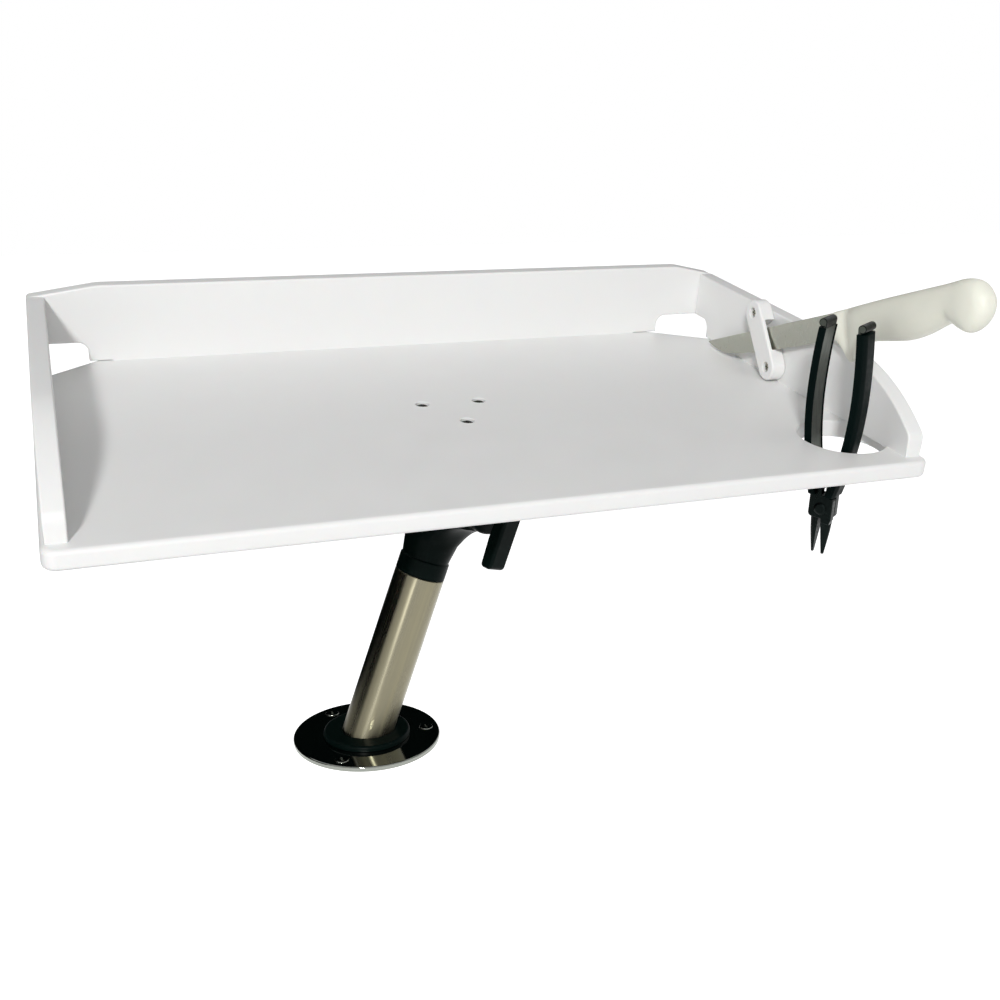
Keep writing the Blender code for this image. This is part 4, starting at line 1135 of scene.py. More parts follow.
def side_outline():
    """Seen from the side, (y, z): level top, long sweep to a round nose, and the drain notch."""
    sweep = (SIDE_SWEEP_START, SIDE_HEIGHT - SIDE_SWEEP)
    nose_y = SIDE_SETBACK + SIDE_NOSE
    inner = SIDE_SWEEP - SIDE_NOSE
    nose_z = sweep[1] + math.sqrt(inner**2 - (sweep[0] - nose_y) ** 2)
    meet = math.degrees(math.atan2(nose_z - sweep[1], nose_y - sweep[0]))
    rear = TRAY_DEPTH - GAP
    notch = (TRAY_DEPTH - DRAIN_DEPTH + DRAIN_ROUND, DRAIN_HEIGHT - DRAIN_ROUND)
    foot = TRAY_DEPTH - DRAIN_DEPTH - SHEET
    outline = [(TRAY_DEPTH - DRAIN_DEPTH, GAP), (foot, GAP), (foot, -FOOTING),
               (SIDE_SETBACK, -FOOTING)]
    outline += arc((nose_y, nose_z), SIDE_NOSE, 180, meet, 12)
    outline += arc(sweep, SIDE_SWEEP, meet, 90, 40)[1:]
    outline += [(rear, SIDE_HEIGHT), (rear, DRAIN_HEIGHT)]
    return outline + arc(notch, DRAIN_ROUND, 90, 180, 10)


def build_walls(context):
    edge = context.scene.bait_board_sizes.wall_edge
    sheet = finish(context, "sheet")
    back = slab(back_outline(), TRAY_DEPTH, BACK_FACE, edge, "Y", 3)
    holes = screw_holes(CORNER_SCREW, corner_screw_places())
    rear = shaped("rear_wall_panel", back, cut=[gather(*holes)])
    seat(rear, TRAY, sheet, "polyethylene", "back_wall")
    spans = {"left_wall": (OUTER_LEFT, 0), "right_wall": (TRAY_WIDTH, OUTER_RIGHT)}
    for node, (low, high) in spans.items():
        side = shaped(f"{node}_panel", slab(side_outline(), low, high, edge, "X", 3))
        seat(side, TRAY, sheet, "polyethylene", node)


def build_tray_screws(context):
    names = numbered("left_wall_screw", 3) + numbered("right_wall_screw", 3)
    names += numbered("back_wall_screw", 4)
    add_screws(context, "wall_screws", WALL_SCREW, base_screw_places(), TRAY, names)
    names = numbered("left_corner_screw", 2) + numbered("right_corner_screw", 2)
    add_screws(context, "corner_screws", CORNER_SCREW, corner_screw_places(), TRAY, names)
    names = numbered("mount_screw", 3)
    add_screws(context, "mount_screws", MOUNT_SCREW, mount_screw_places(), TRAY, names)


def build_keeper(context):
    """A strip with round ends, bridging the blade between its two screwed feet."""
    sizes = context.scene.bait_board_sizes
    along_strip = Vector((0, math.cos(KEEPER_TURN), math.sin(KEEPER_TURN)))
    middle = Vector((0, KEEPER_Y, KEEPER_Z))
    ends = [middle + along_strip * side * KEEPER_SCREW_SPAN / 2 for side in (-1, 1)]
    outline = stadium(ends[0].yz, ends[1].yz, KEEPER_HALF, 24)
    strip = slab(outline, TRAY_WIDTH - SHEET, TRAY_WIDTH - GAP, sizes.keeper_edge, "X", 5)
    slot_face = TRAY_WIDTH - BLADE_STANDOFF - BLADE_THICK / 2 - 3 * GAP
    half, wide = KEEPER_SLOT / 2, KEEPER_HALF + OVER
    soft, sharp = 0.001, 0.0001
    passage = rounded([
        (-half, slot_face, soft), (half, slot_face, soft),
        (half, TRAY_WIDTH + OVER, 0), (-half, TRAY_WIDTH + OVER, 0),
    ])
    slot = slab(passage, -wide, wide, sharp, "Y", 1)
    across = along_strip.cross(Vector((1, 0, 0)))
    slot.transform(axes(middle, along_strip, -across, Vector((1, 0, 0))))
    places = keeper_screw_places()
    holes = screw_holes(KEEPER_SCREW, places, KEEPER_SINK, sizes.screw_chamfer)
    keeper = shaped("keeper_strip", strip, cut=[slot, gather(*holes)])
    seat(keeper, TRAY, finish(context, "sheet"), "polyethylene", "knife_keeper")
    names = ("keeper_screw_upper", "keeper_screw_lower")
    add_screws(context, "keeper_screws", KEEPER_SCREW, places, TRAY, names)


# Knife


def blade_ring(x, edge):
    """A section: flat spine, parallel flanks, then ground down to the cutting edge."""
    thin = BLADE_EDGE_THICK / 2
    half = thin + (BLADE_THICK / 2 - thin) * min(1, edge / -BLADE_FULL_DEPTH)
    relief = min(BLADE_SPINE_SOFT, half / 2)
    right = [(half - relief, 0), (half, -relief), (half, edge * BLADE_FLANK), (thin, edge)]
    left = [(-y, z) for y, z in reversed(right)]
    return [(x, y, z) for y, z in right + left]


def build_blade(context):
    rings = [blade_ring(*row) for row in smooth_stations(BLADE_STATIONS, 8)]
    blade = shaped("fillet_blade", loft(rings))
    seat(blade, KNIFE, finish(context, "blade"), "stainless", "knife_blade")


def build_handle(context):
    rings = []
    for back, top, bottom, thick in smooth_stations(HANDLE_STATIONS, 5):
        rise = math.sqrt(1 - (1 - min(1, back / HANDLE_FRONT_ROUND)) ** 2)
        shrink = HANDLE_FRONT_SHARE + (1 - HANDLE_FRONT_SHARE) * rise
        middle, half = (top + bottom) / 2, (top - bottom) / 2 - HANDLE_SLACK
        ring = squircle(thick * shrink, half * shrink, HANDLE_SQUARE, SMALL_ROUND)
        rings.append([(HANDLE_FRONT - back, y, middle + z) for y, z in ring])
    handle = shaped("moulded_handle", loft(rings))
    seat(handle, KNIFE, finish(context, "handle"), "handle_polymer", "knife_handle")


# Pliers


def handle_offset(z):
    """Half the distance between the handles' middles: they bulge and draw in again."""
    end, end_z = (HANDLE_ROOT, -STRIP_DEPTH) if z < HANDLE_BULGE_Z else (HANDLE_TIP, HANDLE_TOP)
    reach = (z - HANDLE_BULGE_Z) / (end_z - HANDLE_BULGE_Z)
    return HANDLE_BULGE - (HANDLE_BULGE - end) * reach**2


def handle_side(offset, low, high):
    return [(handle_offset(z) + offset, z) for z in evenly(low, high, 37)]


def strip_outline():
    """A handle's steel strip, with its top end rolled outward."""
    centre = (handle_offset(HANDLE_TOP) + STRIP_INSIDE + ROLL_RADIUS, HANDLE_TOP)
    meet = math.acos((STRIP_OUTSIDE - STRIP_INSIDE - ROLL_RADIUS) / ROLL_RADIUS)
    shoulder = HANDLE_TOP - ROLL_RADIUS * math.sin(meet)
    rising = handle_side(STRIP_OUTSIDE, -STRIP_END, shoulder)[:-1]
    falling = handle_side(STRIP_INSIDE, -STRIP_END, HANDLE_TOP)[-2::-1]
    return rising + arc(centre, ROLL_RADIUS, -math.degrees(meet), 180, 28) + falling


def jaw_face(depth):
    """How far a jaw's inner face stands off the middle."""
    return GAP / 2 + (depth - PIVOT_DEPTH) * math.tan(JAW_OPEN)


def joint_outline():
    """The box joint's plate, with a shoulder up between the strips and a root to its jaw."""
    outside = STRIP_OUTSIDE - JOINT_INSET
    root, thick, _ = JAW_STATIONS[0]
    low = -root - JAW_ROOT_OVERLAP
    top = -STRIP_END - GAP
    bottom = -PIVOT_DEPTH - JOINT_RADIUS + JOINT_CORNER
    jaw = -jaw_face(root)
    return rounded([
        (handle_offset(-TANG_TOP_DEPTH) + outside, -TANG_TOP_DEPTH, 0),
        (GAP, -TANG_TOP_DEPTH, JOINT_NICK), (GAP, top, 0),
        (-JOINT_RADIUS, top - 2 * JOINT_NICK, JOINT_SHOULDER),
        (-JOINT_RADIUS, bottom, JOINT_CORNER), (jaw - thick + JOINT_INSET, low, 0),
        (jaw - JAW_ROOT_INSET, low, 0), (jaw - JAW_ROOT_INSET, bottom, JOINT_NICK),
        (JOINT_RADIUS, bottom, 2 * JOINT_CORNER), (JOINT_RADIUS, top, JOINT_SHOULDER),
        (HANDLE_ROOT + outside + SLIGHT, -STRIP_END + JOINT_SHOULDER, 0),
    ])


def jaw_rings():
    """Half-round sections down the jaw: flat towards the other jaw, round outside."""
    return [
        [(-jaw_face(depth) - thick * math.sin(t) ** JAW_FULLNESS, wide * math.cos(t), -depth)
         for t in evenly(0, math.pi, 17)]
        for depth, thick, wide in smooth_stations(JAW_STATIONS, 4)
    ]


def grip_section():
    """The sleeve's section, (offset, y): crowned outside, two lips round the steel strip."""
    face, back = -GRIP_THICK / 2, GRIP_THICK / 2
    wide, slot = GRIP_HALF_WIDTH, STRIP_HALF_WIDTH + GAP
    crown, crown_wide = back + GRIP_CROWN, wide * 0.6
    floor = STRIP_OUTSIDE + GAP
    lip, rim, shoulder, bulge = 0.0003, 0.0005, 0.0012, 0.006
    return tidy_outline(rounded([
        (face, -slot, lip), (floor, -slot, 0), (floor, slot, 0), (face, slot, lip),
        (face, wide, rim), (back, wide, shoulder), (crown, crown_wide, bulge),
        (crown, -crown_wide, bulge), (back, -wide, shoulder), (face, -wide, rim),
    ], steps=5))


def grip_rings():
    """The section carried up the handle, drawn in at both ends."""
    section = grip_section()
    edge = GRIP_EDGE
    levels = [(-GRIP_DEPTH, edge), (-GRIP_DEPTH + edge * 0.4, edge * 0.3)]
    levels += [(z, 0) for z in evenly(-GRIP_DEPTH + edge, GRIP_TOP - edge, 60)]
    levels += [(GRIP_TOP - edge * 0.4, edge * 0.3), (GRIP_TOP, edge)]
    return [[(handle_offset(z) + x, y, z) for x, y in inset(section, distance)]
            for z, distance in levels]


def tooth_tree():
    """A row of ridges down a jaw's flat face."""
    tree, given = new_tree("jaw_teeth", {
        "Count": "Int", "Start": "Vector", "Step": "Vector", "Ridge": "Vector",
        "Narrowing": "Float",
    })
    line = add_node(tree, "GeometryNodeMeshLine", {
        "Count": given["Count"], "Start Location": given["Start"], "Offset": given["Step"],
    })
    ridge = add_node(tree, "GeometryNodeMeshCube", {"Size": given["Ridge"]})
    tipped = add_node(tree, "GeometryNodeTransform", {
        "Geometry": ridge.outputs["Mesh"], "Rotation": (0, math.pi / 4, 0),
    })
    index = add_node(tree, "GeometryNodeInputIndex").outputs["Index"]
    share = maths(tree, "DIVIDE", index, given["Count"])
    narrow = maths(tree, "SUBTRACT", 1.0, maths(tree, "MULTIPLY", share, given["Narrowing"]))
    scale = add_node(tree, "ShaderNodeCombineXYZ", {"X": 1.0, "Y": narrow, "Z": 1.0})
    placed = add_node(tree, "GeometryNodeInstanceOnPoints", {
        "Points": line.outputs["Mesh"], "Instance": tipped.outputs["Geometry"],
        "Scale": scale.outputs["Vector"],
    })
    return end_tree(tree, given, placed.outputs["Instances"])


def add_teeth(context, name, place, node):
    """The ridges on one jaw, which ride with the half that they are cut in."""
    sizes = context.scene.bait_board_sizes
    start, _, wide = JAW_STATIONS[0]
    end, _, tip_wide = JAW_STATIONS[-1]
    start += JAW_TEETH_START
    count = int((end - start) / sizes.tooth_pitch)
    slope = math.tan(JAW_OPEN)
    side = sizes.tooth_height * 4
    sunk = side * math.sqrt(0.5) - sizes.tooth_height
    obj = into_scene(name, bpy.data.meshes.new(name))
    run_tree(obj, bpy.data.node_groups.get("jaw_teeth") or tooth_tree(), {
        "Count": count, "Start": (-jaw_face(start) - sunk, 0, -start),
        "Step": (-sizes.tooth_pitch * slope, 0, -sizes.tooth_pitch),
        "Ridge": (side, wide * 1.5, side), "Narrowing": 1 - tip_wide / wide,
        "Material": finish(context, "black_steel"),
    })
    obj.data.transform(place)
    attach(obj, frame["nodes"][node]["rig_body"])


def build_plier_half(context, side_name, turn):
    """One bent steel half with its blackened joint and jaw, and the grip on its handle."""
    place = PLIERS @ Matrix.Rotation(turn, 4, "Z") @ Matrix.Translation((0, 0, PIVOT_DEPTH))
    node = f"plier_half_{side_name}"
    steel = finish(context, "black_steel")
    strip = slab(strip_outline(), -STRIP_HALF_WIDTH, STRIP_HALF_WIDTH, STRIP_EDGE, "Y", 2)
    bent = shaped(f"handle_strip_{side_name}", strip)
    # The faces inside the joint take the joint's blackened steel; the rolled end above the grip
    # takes it too, as painted shade standing in for the dark reflection on its top
    blackened_and_shaded_faces = [face.index for face in bent.data.polygons
             if not -TANG_TOP_DEPTH < face.center.z < GRIP_TOP]
    seat(bent, place, finish(context, "strip"), "stainless", node)
    bent.data.materials.append(steel)
    for index in blackened_and_shaded_faces:
        bent.data.polygons[index].material_index = 1
    plate = slab(joint_outline(), GAP / 2, JOINT_THICK / 2, SLIGHT, "Y", 3)
    head = shaped(f"joint_and_jaw_{side_name}", gather(plate, loft(jaw_rings())))
    seat(head, place, steel, "stainless", node)
    add_teeth(context, f"jaw_teeth_{side_name}", place, node)
    grip = shaped(f"grip_sleeve_{side_name}", loft(grip_rings()))
    seat(grip, place, finish(context, "rubber"), "grip_rubber", f"plier_grip_{side_name}")


def build_pliers(context):
    build_plier_half(context, "right", 0)
    build_plier_half(context, "left", math.pi)
    reach = JOINT_THICK / 2 + GAP
    end = reach + RIVET_HEAD_THICK
    crown, brim = 0.0008, 0.0002
    dome = [(0, end, 0), (RIVET_HEAD * 0.7, end, crown), (RIVET_HEAD, reach + brim, brim),
            (RIVET_HEAD, reach, 0), (RIVET_RADIUS, reach, 0)]
    upper = rounded(dome, closed=False)
    profile = upper + [(radius, -level) for radius, level in reversed(upper)]
    rivet = shaped("pivot_rivet", turned(profile, SMALL_ROUND, "Y"))
    seat(rivet, PLIERS, finish(context, "black_steel"), "stainless", "plier_pivot")


# Mount


def build_bracket(context):
    """The round plate under the board and the tongue that hangs between the knuckle's ears."""
    edge = context.scene.bait_board_sizes.moulded_edge
    plate = disc(BRACKET_RADIUS, (BRACKET_BOTTOM, BRACKET_TOP), (edge * 0.8, 0.0005))
    top = BRACKET_BOTTOM + BRACKET_THICK / 2
    outline = [(TONGUE_RADIUS, top)] + arc((0, 0), TONGUE_RADIUS, 0, -180, 60)
    tongue = slab(outline + [(-TONGUE_RADIUS, top)], -TONGUE_HALF, TONGUE_HALF, SLIGHT, "X", 3)
    bore = rod(BOLT_RADIUS + GAP, -BRACKET_RADIUS, BRACKET_RADIUS, "X")
    holder = shaped("board_bracket", plate, [tongue], [bore])
    seat(holder, BRACKET, finish(context, "nylon"), "moulded_nylon", "mount_bracket")


def neck_rings():
    """Rings down from the hinge to the spigot's end: (level, half width, half depth, power)."""
    arch_start = KNUCKLE_RADIUS + ARCH_RADIUS
    neck = KNUCKLE_HALF - ARCH_RADIUS
    levels = [(NECK_TOP, KNUCKLE_HALF - NECK_RELIEF, NECK_DEPTH, NECK_SQUARE)]
    steps = 18
    for i in range(steps + 1):
        t = math.radians(90 - 90 * i / steps)
        levels.append((
            arch_start - ARCH_RADIUS * math.sin(t),
            KNUCKLE_HALF - ARCH_RADIUS * math.cos(t) - NECK_RELIEF * math.sin(t),
            NECK_DEPTH + (neck - NECK_DEPTH) * (i / steps),
            NECK_SQUARE - (NECK_SQUARE - 2) * i / steps,
        ))
    spigot_end = COLLAR_END + SPIGOT_LENGTH
    soft, lead_in = 0.0005, 0.0015
    for level, radius in (
        (COLLAR_START - soft, TUBE_RADIUS - COLLAR_STEP), (COLLAR_START, TUBE_RADIUS - soft),
        (COLLAR_START + soft, TUBE_RADIUS), (COLLAR_END - soft, TUBE_RADIUS),
        (COLLAR_END, TUBE_RADIUS - soft), (COLLAR_END, SPIGOT_RADIUS),
        (spigot_end - lead_in, SPIGOT_RADIUS), (spigot_end, SPIGOT_RADIUS - lead_in),
    ):
        levels.append((level, radius, radius, 2))
    return [[(x, y, -level) for x, y in squircle(wide, deep, power, 72)]
            for level, wide, deep, power in levels]


def build_knuckle(context):
    """Two round ears on an arched neck that narrows to the collar on the tube."""
    edge = context.scene.bait_board_sizes.moulded_edge
    ears = [disc(KNUCKLE_RADIUS, (side * EAR_INSIDE, side * KNUCKLE_HALF), (SLIGHT, edge), "X")
            for side in (1, -1)]
    room = rod(TONGUE_RADIUS + TONGUE_CLEARANCE, -EAR_INSIDE, EAR_INSIDE, "X", LARGE_ROUND)
    far = BRACKET_RADIUS * 2
    bore = rod(BOLT_RADIUS + GAP, -far, far, "X")
    floor = -KNUCKLE_HALF + BOLT_HEAD_THICK + 2 * GAP
    pocket = rod(BOLT_HEAD_CORNER + GAP, -KNUCKLE_HALF - OVER, floor, "X", 6)
    head = shaped("knuckle_fork", loft(neck_rings()), ears, [room, bore, pocket])
    seat(head, KNUCKLE, finish(context, "nylon"), "moulded_nylon", "knuckle_head")


def build_hinge_hardware(context):
    """Hinge bolt, its washer, the two friction discs and the lever's brass insert."""
    steel = finish(context, "fastener")
    low = -KNUCKLE_HALF + GAP
    high = low + BOLT_HEAD_THICK
    bevel, bevel_width = 0.0011, BOLT_HEAD_CORNER * 0.86
    head = turned([(0, low), (bevel_width, low), (BOLT_HEAD_CORNER, low + bevel),
                   (BOLT_HEAD_CORNER, high), (0, high)], 6, "X")
    thread = disc(BOLT_RADIUS, (high - OVER, BOLT_END), (0, 0.0007), "X", SMALL_ROUND)
    seat(shaped("hex_bolt", head, [thread]), KNUCKLE, steel, "stainless", "hinge_bolt")
    low = KNUCKLE_HALF + GAP
    high = low + WASHER_THICK
    inner = BOLT_RADIUS + GAP
    ring = rounded([(inner, low, 0), (WASHER_RADIUS, low, WASHER_THICK / 4),
                    (WASHER_RADIUS, high, WASHER_THICK * 3 / 8), (inner, high, 0)], 3)
    washer = shaped("plain_washer", turned(ring, SMALL_ROUND, "X", ring=True))
    seat(washer, KNUCKLE, steel, "stainless", "bolt_washer")
    low = HUB_FACE + GAP
    ring = [(inner, low)]
    for i in range(13):
        groove = INSERT_GROOVE if i % 2 else 0
        ring.append((INSERT_RADIUS - groove, low + INSERT_LENGTH * i / 12))
    ring.append((inner, low + INSERT_LENGTH))
    insert = shaped("brass_bush", turned(ring, SMALL_ROUND, "X", ring=True))
    seat(insert, KNUCKLE, finish(context, "brass"), "brass_insert", "lever_insert")
    for node in ("friction_disc_right", "friction_disc_left"):
        paint(frame["nodes"][node], finish(context, "pad"))


def build_lever(context):
    """A round hub with one arm, turning on the bolt beside the knuckle's right ear."""
    edge = context.scene.bait_board_sizes.moulded_edge
    face = HUB_FACE + LEVER_HUB_THICK
    hub = disc(LEVER_HUB, (HUB_FACE, face), (edge, edge), "X")
    arm_back = LEVER_ARM_FACE - LEVER_ARM_THICK
    # The boss flares out where it stands on the hub
    boss = turned([
        (0, face - edge), (LEVER_BOSS + 0.003, face - edge),
        (LEVER_BOSS + 0.0012, face + 0.0004), (LEVER_BOSS, face + 0.002),
        (LEVER_BOSS, arm_back + edge), (0, arm_back + edge),
    ], 64, "X")
    tip_back = LEVER_ARM_FACE - LEVER_ARM_TIP_THICK
    bend, tip_round, face_round = 0.02, 0.0028, 0.0036
    arm = slab(rounded([
        (arm_back, LEVER_ARM_HALF, 0.003), (arm_back, -LEVER_HUB, bend),
        (tip_back, -LEVER_REACH, tip_round), (LEVER_ARM_FACE, -LEVER_REACH, face_round),
        (LEVER_ARM_FACE, LEVER_ARM_HALF, face_round),
    ], steps=8), -LEVER_ARM_HALF, LEVER_ARM_HALF, LEVER_ARM_EDGE, "Y", 5)
    bore_end = HUB_FACE + INSERT_LENGTH + 2 * GAP
    bore = rod(INSERT_RADIUS + GAP, HUB_FACE - OVER, bore_end, "X")
    lever = shaped("lever_handle", hub, [boss, arm], [bore])
    seat(lever, KNUCKLE, finish(context, "nylon"), "moulded_nylon", "clamp_lever")


def build_tube(context):
    """The tube, its foot cut level so that it stands on the flange."""
    top = KNUCKLE_REACH - COLLAR_END - GAP
    lean = math.sin(TUBE_LEAN)
    sides = 120
    rings = []
    for radius, drop in ((TUBE_BORE, None), (TUBE_RADIUS, None), (TUBE_RADIUS, TUBE_EDGE),
                         (TUBE_RADIUS - TUBE_EDGE, 0), (TUBE_BORE, 0)):
        ring = []
        for i in range(sides):
            x, y = radius * math.cos(math.tau * i / sides), radius * math.sin(math.tau * i / sides)
            foot = (GAP + x * lean) / math.cos(TUBE_LEAN)
            ring.append((x, y, foot if drop is None else top - drop))
        rings.append(ring)
    tube = shaped("stand_tube", loft(rings, capped=False))
    seat(tube, TUBE, finish(context, "tube"), "polished_stainless", "tube")
    spot = facing((0, 1, 0), (0, TUBE_RADIUS + GAP + SWIVEL_SCREW.rim, top - GROOVE_PLACE + GAP))
    add_screws(context, "tube_screw", SWIVEL_SCREW, [spot], TUBE, ["swivel_screw"])


def build_foot(context):
    """The black collar round the tube's foot, with its leaning passage."""
    low = FLANGE_THICK + GAP
    ring = disc(FOOT_RADIUS, (low, low + FOOT_HEIGHT), (0, FOOT_ROUND))
    passage = rod(TUBE_RADIUS + GAP, -FOOT_RADIUS, FOOT_RADIUS, sides=LARGE_ROUND)
    foot = shaped("foot_ring", ring, cut=[moved(passage, TUBE)])
    seat(foot, STAND, finish(context, "nylon"), "moulded_nylon", "foot_collar")


def build_flange(context):
    """The round deck flange with its three countersunk screws."""
    softs = (FLANGE_EDGE, FLANGE_EDGE)
    plate = disc(FLANGE_RADIUS, (0, FLANGE_THICK), softs, sides=160, steps=8)
    places = on_circle((0, 0), FLANGE_CIRCLE, FLANGE_ANGLES, FLANGE_THICK + FLANGE_PROUD)
    flange = shaped("flange_disc", plate, cut=[gather(*screw_holes(FLANGE_SCREW, places))])
    seat(flange, STAND, finish(context, "mirror"), "polished_stainless", "deck_flange")
    names = numbered("flange_screw", 3)
    add_screws(context, "flange_screws", FLANGE_SCREW, places, STAND, names)


# Stage

FLOOR_HALF = 6
FLOOR_DROP = 0.0002
LAMPS_AIM = (0.05, 0.0, 0.18)

# Dark cards that only reflections see, as the dark side of the room in polished metal: name,
# middle, what it faces and half its side. The low ones lie just over the floor, which the
# flange and the tube's foot mirror.
CARDS = (
    ("card_behind", (0.55, 1.3, 0.75), (0, 0, 0.02), 0.75),
    ("card_rear_left", (-0.5, 0.8, 0.35), (0.03, 0, 0.10), 0.5),
    ("card_left", (-0.7, 0.22, 0.2), (0.03, 0.22, 0.2), 0.42),
    ("card_low_left", (-0.56, 0.22, 0.0008), (-0.56, 0.22, 1), 0.42),
    ("card_low_rear", (-0.34, 0.57, 0.0009), (-0.34, 0.57, 1), 0.46),
)


def aimed(obj, place, target):
    """Puts a lamp or card at its place and turns its -Z to the target."""
    obj.location = place
    obj.rotation_euler = (Vector(target) - Vector(place)).to_track_quat("-Z", "Y").to_euler()


def plain_sheet(name, half, material):
    bm = bmesh.new()
    corners = [(-half, -half), (half, -half), (half, half), (-half, half)]
    bm.faces.new([bm.verts.new((x, y, 0)) for x, y in corners])
    made = new_object(name, bm)
    paint(made, material)
    return made


def seen(tree):
    """1 for what the camera sees, also in metal or through glass, and 0 for light on a piece."""
    paths = add_node(tree, "ShaderNodeLightPath").outputs
    mirrored = maths(tree, "MAXIMUM", paths["Is Glossy Ray"], paths["Is Transmission Ray"])
    return maths(tree, "MAXIMUM", paths["Is Camera Ray"], mirrored)


def painted_floor(rgb):
    """A matt floor that also glows where it is seen, so that it looks nearly white."""
    made, shader = new_material("painted_floor", {
        "Base Color": (*rgb, 1), "Roughness": 0.9, "Specular IOR Level": 0.1,
    })
    tree = made.node_tree
    matt = shader.outputs["BSDF"]
    glow = add_node(tree, "ShaderNodeEmission", {"Strength": 0.85})
    both = add_node(tree, "ShaderNodeAddShader", {0: matt, 1: glow.outputs["Emission"]})
    mixed = add_node(tree, "ShaderNodeMixShader", {
        "Fac": seen(tree), 1: matt, 2: both.outputs["Shader"],
    })
    tree.links.new(mixed.outputs["Shader"], tree.nodes["Material Output"].inputs["Surface"])
    return made


def build_stage(context):
    """Pale floor, white surroundings, soft lamps, dark cards for the metal and the camera."""
    scene = context.scene
    stage = scene.bait_board_stage
    scene.view_settings.view_transform = "Standard"

    scene.world = bpy.data.worlds.new("white_room")
    scene.world.use_nodes = True
    tree = scene.world.node_tree
    strength = add_node(tree, "ShaderNodeMapRange", {
        "Value": seen(tree), "To Min": stage.room_light, "To Max": 1.0,
    })
    background = tree.nodes["Background"]
    background.inputs["Color"].default_value = (1, 1, 1, 1)
    tree.links.new(strength.outputs["Result"], background.inputs["Strength"])

    floor = plain_sheet("floor", FLOOR_HALF, painted_floor(stage.floor))
    floor.location = (0, 0, -FLOOR_DROP)

    for name, place, size, power in (
        ("key_lamp", (-1.42, -3.31, 1.87), 0.4, stage.key_light),
        ("top_lamp", (0.2, 0.3, 1.8), 1.6, stage.top_light),
    ):
        lamp = bpy.data.lights.new(name, "AREA")
        lamp.size = size
        lamp.energy = power
        aimed(into_scene(name, lamp), place, LAMPS_AIM)

    dark, _ = new_material("dark_card", {
        "Base Color": (*linear("0C1413"), 1), "Roughness": 0.9, "Specular IOR Level": 0.0,
    })
    for name, place, target, half in CARDS:
        card = plain_sheet(name, half, dark)
        aimed(card, place, target)
        card.visible_camera = False
        card.visible_diffuse = False
        card.visible_shadow = False

    lens = bpy.data.cameras.new("camera")
    lens.sensor_fit = "HORIZONTAL"
    lens.sensor_width = 36
    lens.lens = stage.lens
    lens.clip_start = 0.01
    camera = into_scene("camera", lens)
    camera.location = stage.camera_place
    camera.rotation_euler = stage.camera_turn
    scene.camera = camera


# Operators, one for each piece or group


class Builder:
    """Runs its class's build function; an error stops the script."""

    bl_options = {"REGISTER", "UNDO"}

    def execute(self, context):
        type(self).build(context)
        return {"FINISHED"}


class BAITBOARD_OT_base(Builder, bpy.types.Operator):
    """Build the white base board with its plier hole"""

    bl_idname = "bait_board.base"
    bl_label = "Base Board"
    build = staticmethod(build_base)


class BAITBOARD_OT_walls(Builder, bpy.types.Operator):
    """Build the back wall and the two side walls"""

    bl_idname = "bait_board.walls"
    bl_label = "Walls"
    build = staticmethod(build_walls)


class BAITBOARD_OT_tray_screws(Builder, bpy.types.Operator):
    """Build the screws that hold the tray and its mount"""

    bl_idname = "bait_board.tray_screws"
    bl_label = "Tray Screws"
    build = staticmethod(build_tray_screws)


class BAITBOARD_OT_keeper(Builder, bpy.types.Operator):
    """Build the knife keeper and its two screws"""

    bl_idname = "bait_board.keeper"
    bl_label = "Knife Keeper"
    build = staticmethod(build_keeper)


class BAITBOARD_OT_blade(Builder, bpy.types.Operator):
    """Build the fillet knife's blade"""

    bl_idname = "bait_board.blade"
    bl_label = "Knife Blade"
    build = staticmethod(build_blade)


class BAITBOARD_OT_handle(Builder, bpy.types.Operator):
    """Build the fillet knife's moulded handle"""

    bl_idname = "bait_board.handle"
    bl_label = "Knife Handle"
    build = staticmethod(build_handle)


class BAITBOARD_OT_pliers(Builder, bpy.types.Operator):
    """Build the pliers: steel halves, teeth, grips and rivet"""

    bl_idname = "bait_board.pliers"
    bl_label = "Pliers"
    build = staticmethod(build_pliers)


class BAITBOARD_OT_bracket(Builder, bpy.types.Operator):
    """Build the bracket under the board"""

    bl_idname = "bait_board.bracket"
    bl_label = "Bracket"
    build = staticmethod(build_bracket)


class BAITBOARD_OT_knuckle(Builder, bpy.types.Operator):
    """Build the knuckle head in the tube"""

    bl_idname = "bait_board.knuckle"
    bl_label = "Knuckle Head"
    build = staticmethod(build_knuckle)


class BAITBOARD_OT_hinge_hardware(Builder, bpy.types.Operator):
    """Build the hinge bolt, washer and insert, and finish the friction discs"""

    bl_idname = "bait_board.hinge_hardware"
    bl_label = "Hinge Hardware"
    build = staticmethod(build_hinge_hardware)


class BAITBOARD_OT_lever(Builder, bpy.types.Operator):
    """Build the clamp lever"""

    bl_idname = "bait_board.lever"
    bl_label = "Clamp Lever"
    build = staticmethod(build_lever)


class BAITBOARD_OT_tube(Builder, bpy.types.Operator):
    """Build the leaning tube and its screw"""

    bl_idname = "bait_board.tube"
    bl_label = "Tube"
    build = staticmethod(build_tube)


class BAITBOARD_OT_foot(Builder, bpy.types.Operator):
    """Build the collar round the tube's foot"""

    bl_idname = "bait_board.foot"
    bl_label = "Foot Collar"
    build = staticmethod(build_foot)


class BAITBOARD_OT_flange(Builder, bpy.types.Operator):
    """Build the deck flange and its screws"""

    bl_idname = "bait_board.flange"
    bl_label = "Deck Flange"
    build = staticmethod(build_flange)


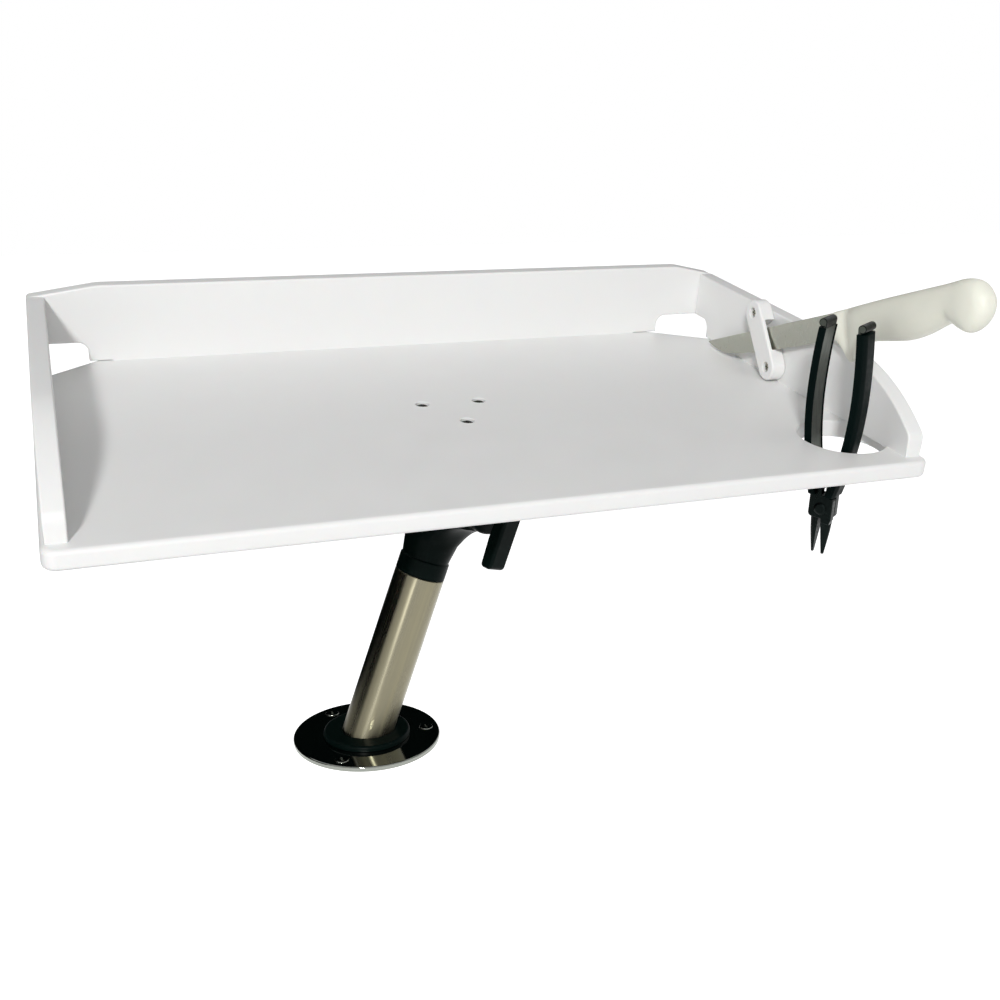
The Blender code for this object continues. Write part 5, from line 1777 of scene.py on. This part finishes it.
class BAITBOARD_OT_stage(Builder, bpy.types.Operator):
    """Build the floor, lamps and camera"""

    bl_idname = "bait_board.stage"
    bl_label = "Stage"
    build = staticmethod(build_stage)


STEPS = (
    BAITBOARD_OT_base, BAITBOARD_OT_walls, BAITBOARD_OT_tray_screws, BAITBOARD_OT_keeper,
    BAITBOARD_OT_blade, BAITBOARD_OT_handle, BAITBOARD_OT_pliers, BAITBOARD_OT_bracket,
    BAITBOARD_OT_knuckle, BAITBOARD_OT_hinge_hardware, BAITBOARD_OT_lever, BAITBOARD_OT_tube,
    BAITBOARD_OT_foot, BAITBOARD_OT_flange, BAITBOARD_OT_stage,
)


class BAITBOARD_PT_panel(bpy.types.Panel):
    """The steps and settings in the 3D view's sidebar"""

    bl_idname = "BAITBOARD_PT_panel"
    bl_label = "Bait Board"
    bl_space_type = "VIEW_3D"
    bl_region_type = "UI"
    bl_category = "Bait Board"

    def draw(self, context):
        layout = self.layout
        for step in STEPS:
            layout.operator(step.bl_idname)
        for name in SETTINGS:
            settings = getattr(context.scene, name)
            box = layout.box()
            for entry in settings.bl_rna.properties:
                if entry.identifier not in ("rna_type", "name"):
                    box.prop(settings, entry.identifier)


SETTINGS = {
    "bait_board_sizes": BAITBOARD_PG_sizes,
    "bait_board_colours": BAITBOARD_PG_colours,
    "bait_board_stage": BAITBOARD_PG_stage,
}


def register():
    for made in (*SETTINGS.values(), *STEPS, BAITBOARD_PT_panel):
        bpy.utils.register_class(made)
    for name, group in SETTINGS.items():
        setattr(bpy.types.Scene, name, bpy.props.PointerProperty(type=group))


def unregister():
    for name in SETTINGS:
        delattr(bpy.types.Scene, name)
    for made in reversed((*SETTINGS.values(), *STEPS, BAITBOARD_PT_panel)):
        bpy.utils.unregister_class(made)


def main():
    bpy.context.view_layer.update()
    for obj in list(bpy.context.scene.objects):
        if obj.name in ("Cube", "Light", "Camera"):
            bpy.data.objects.remove(obj)
    register()
    for step in STEPS:
        group, name = step.bl_idname.split(".")
        getattr(getattr(bpy.ops, group), name)()


if __name__ == "__main__":
    main()
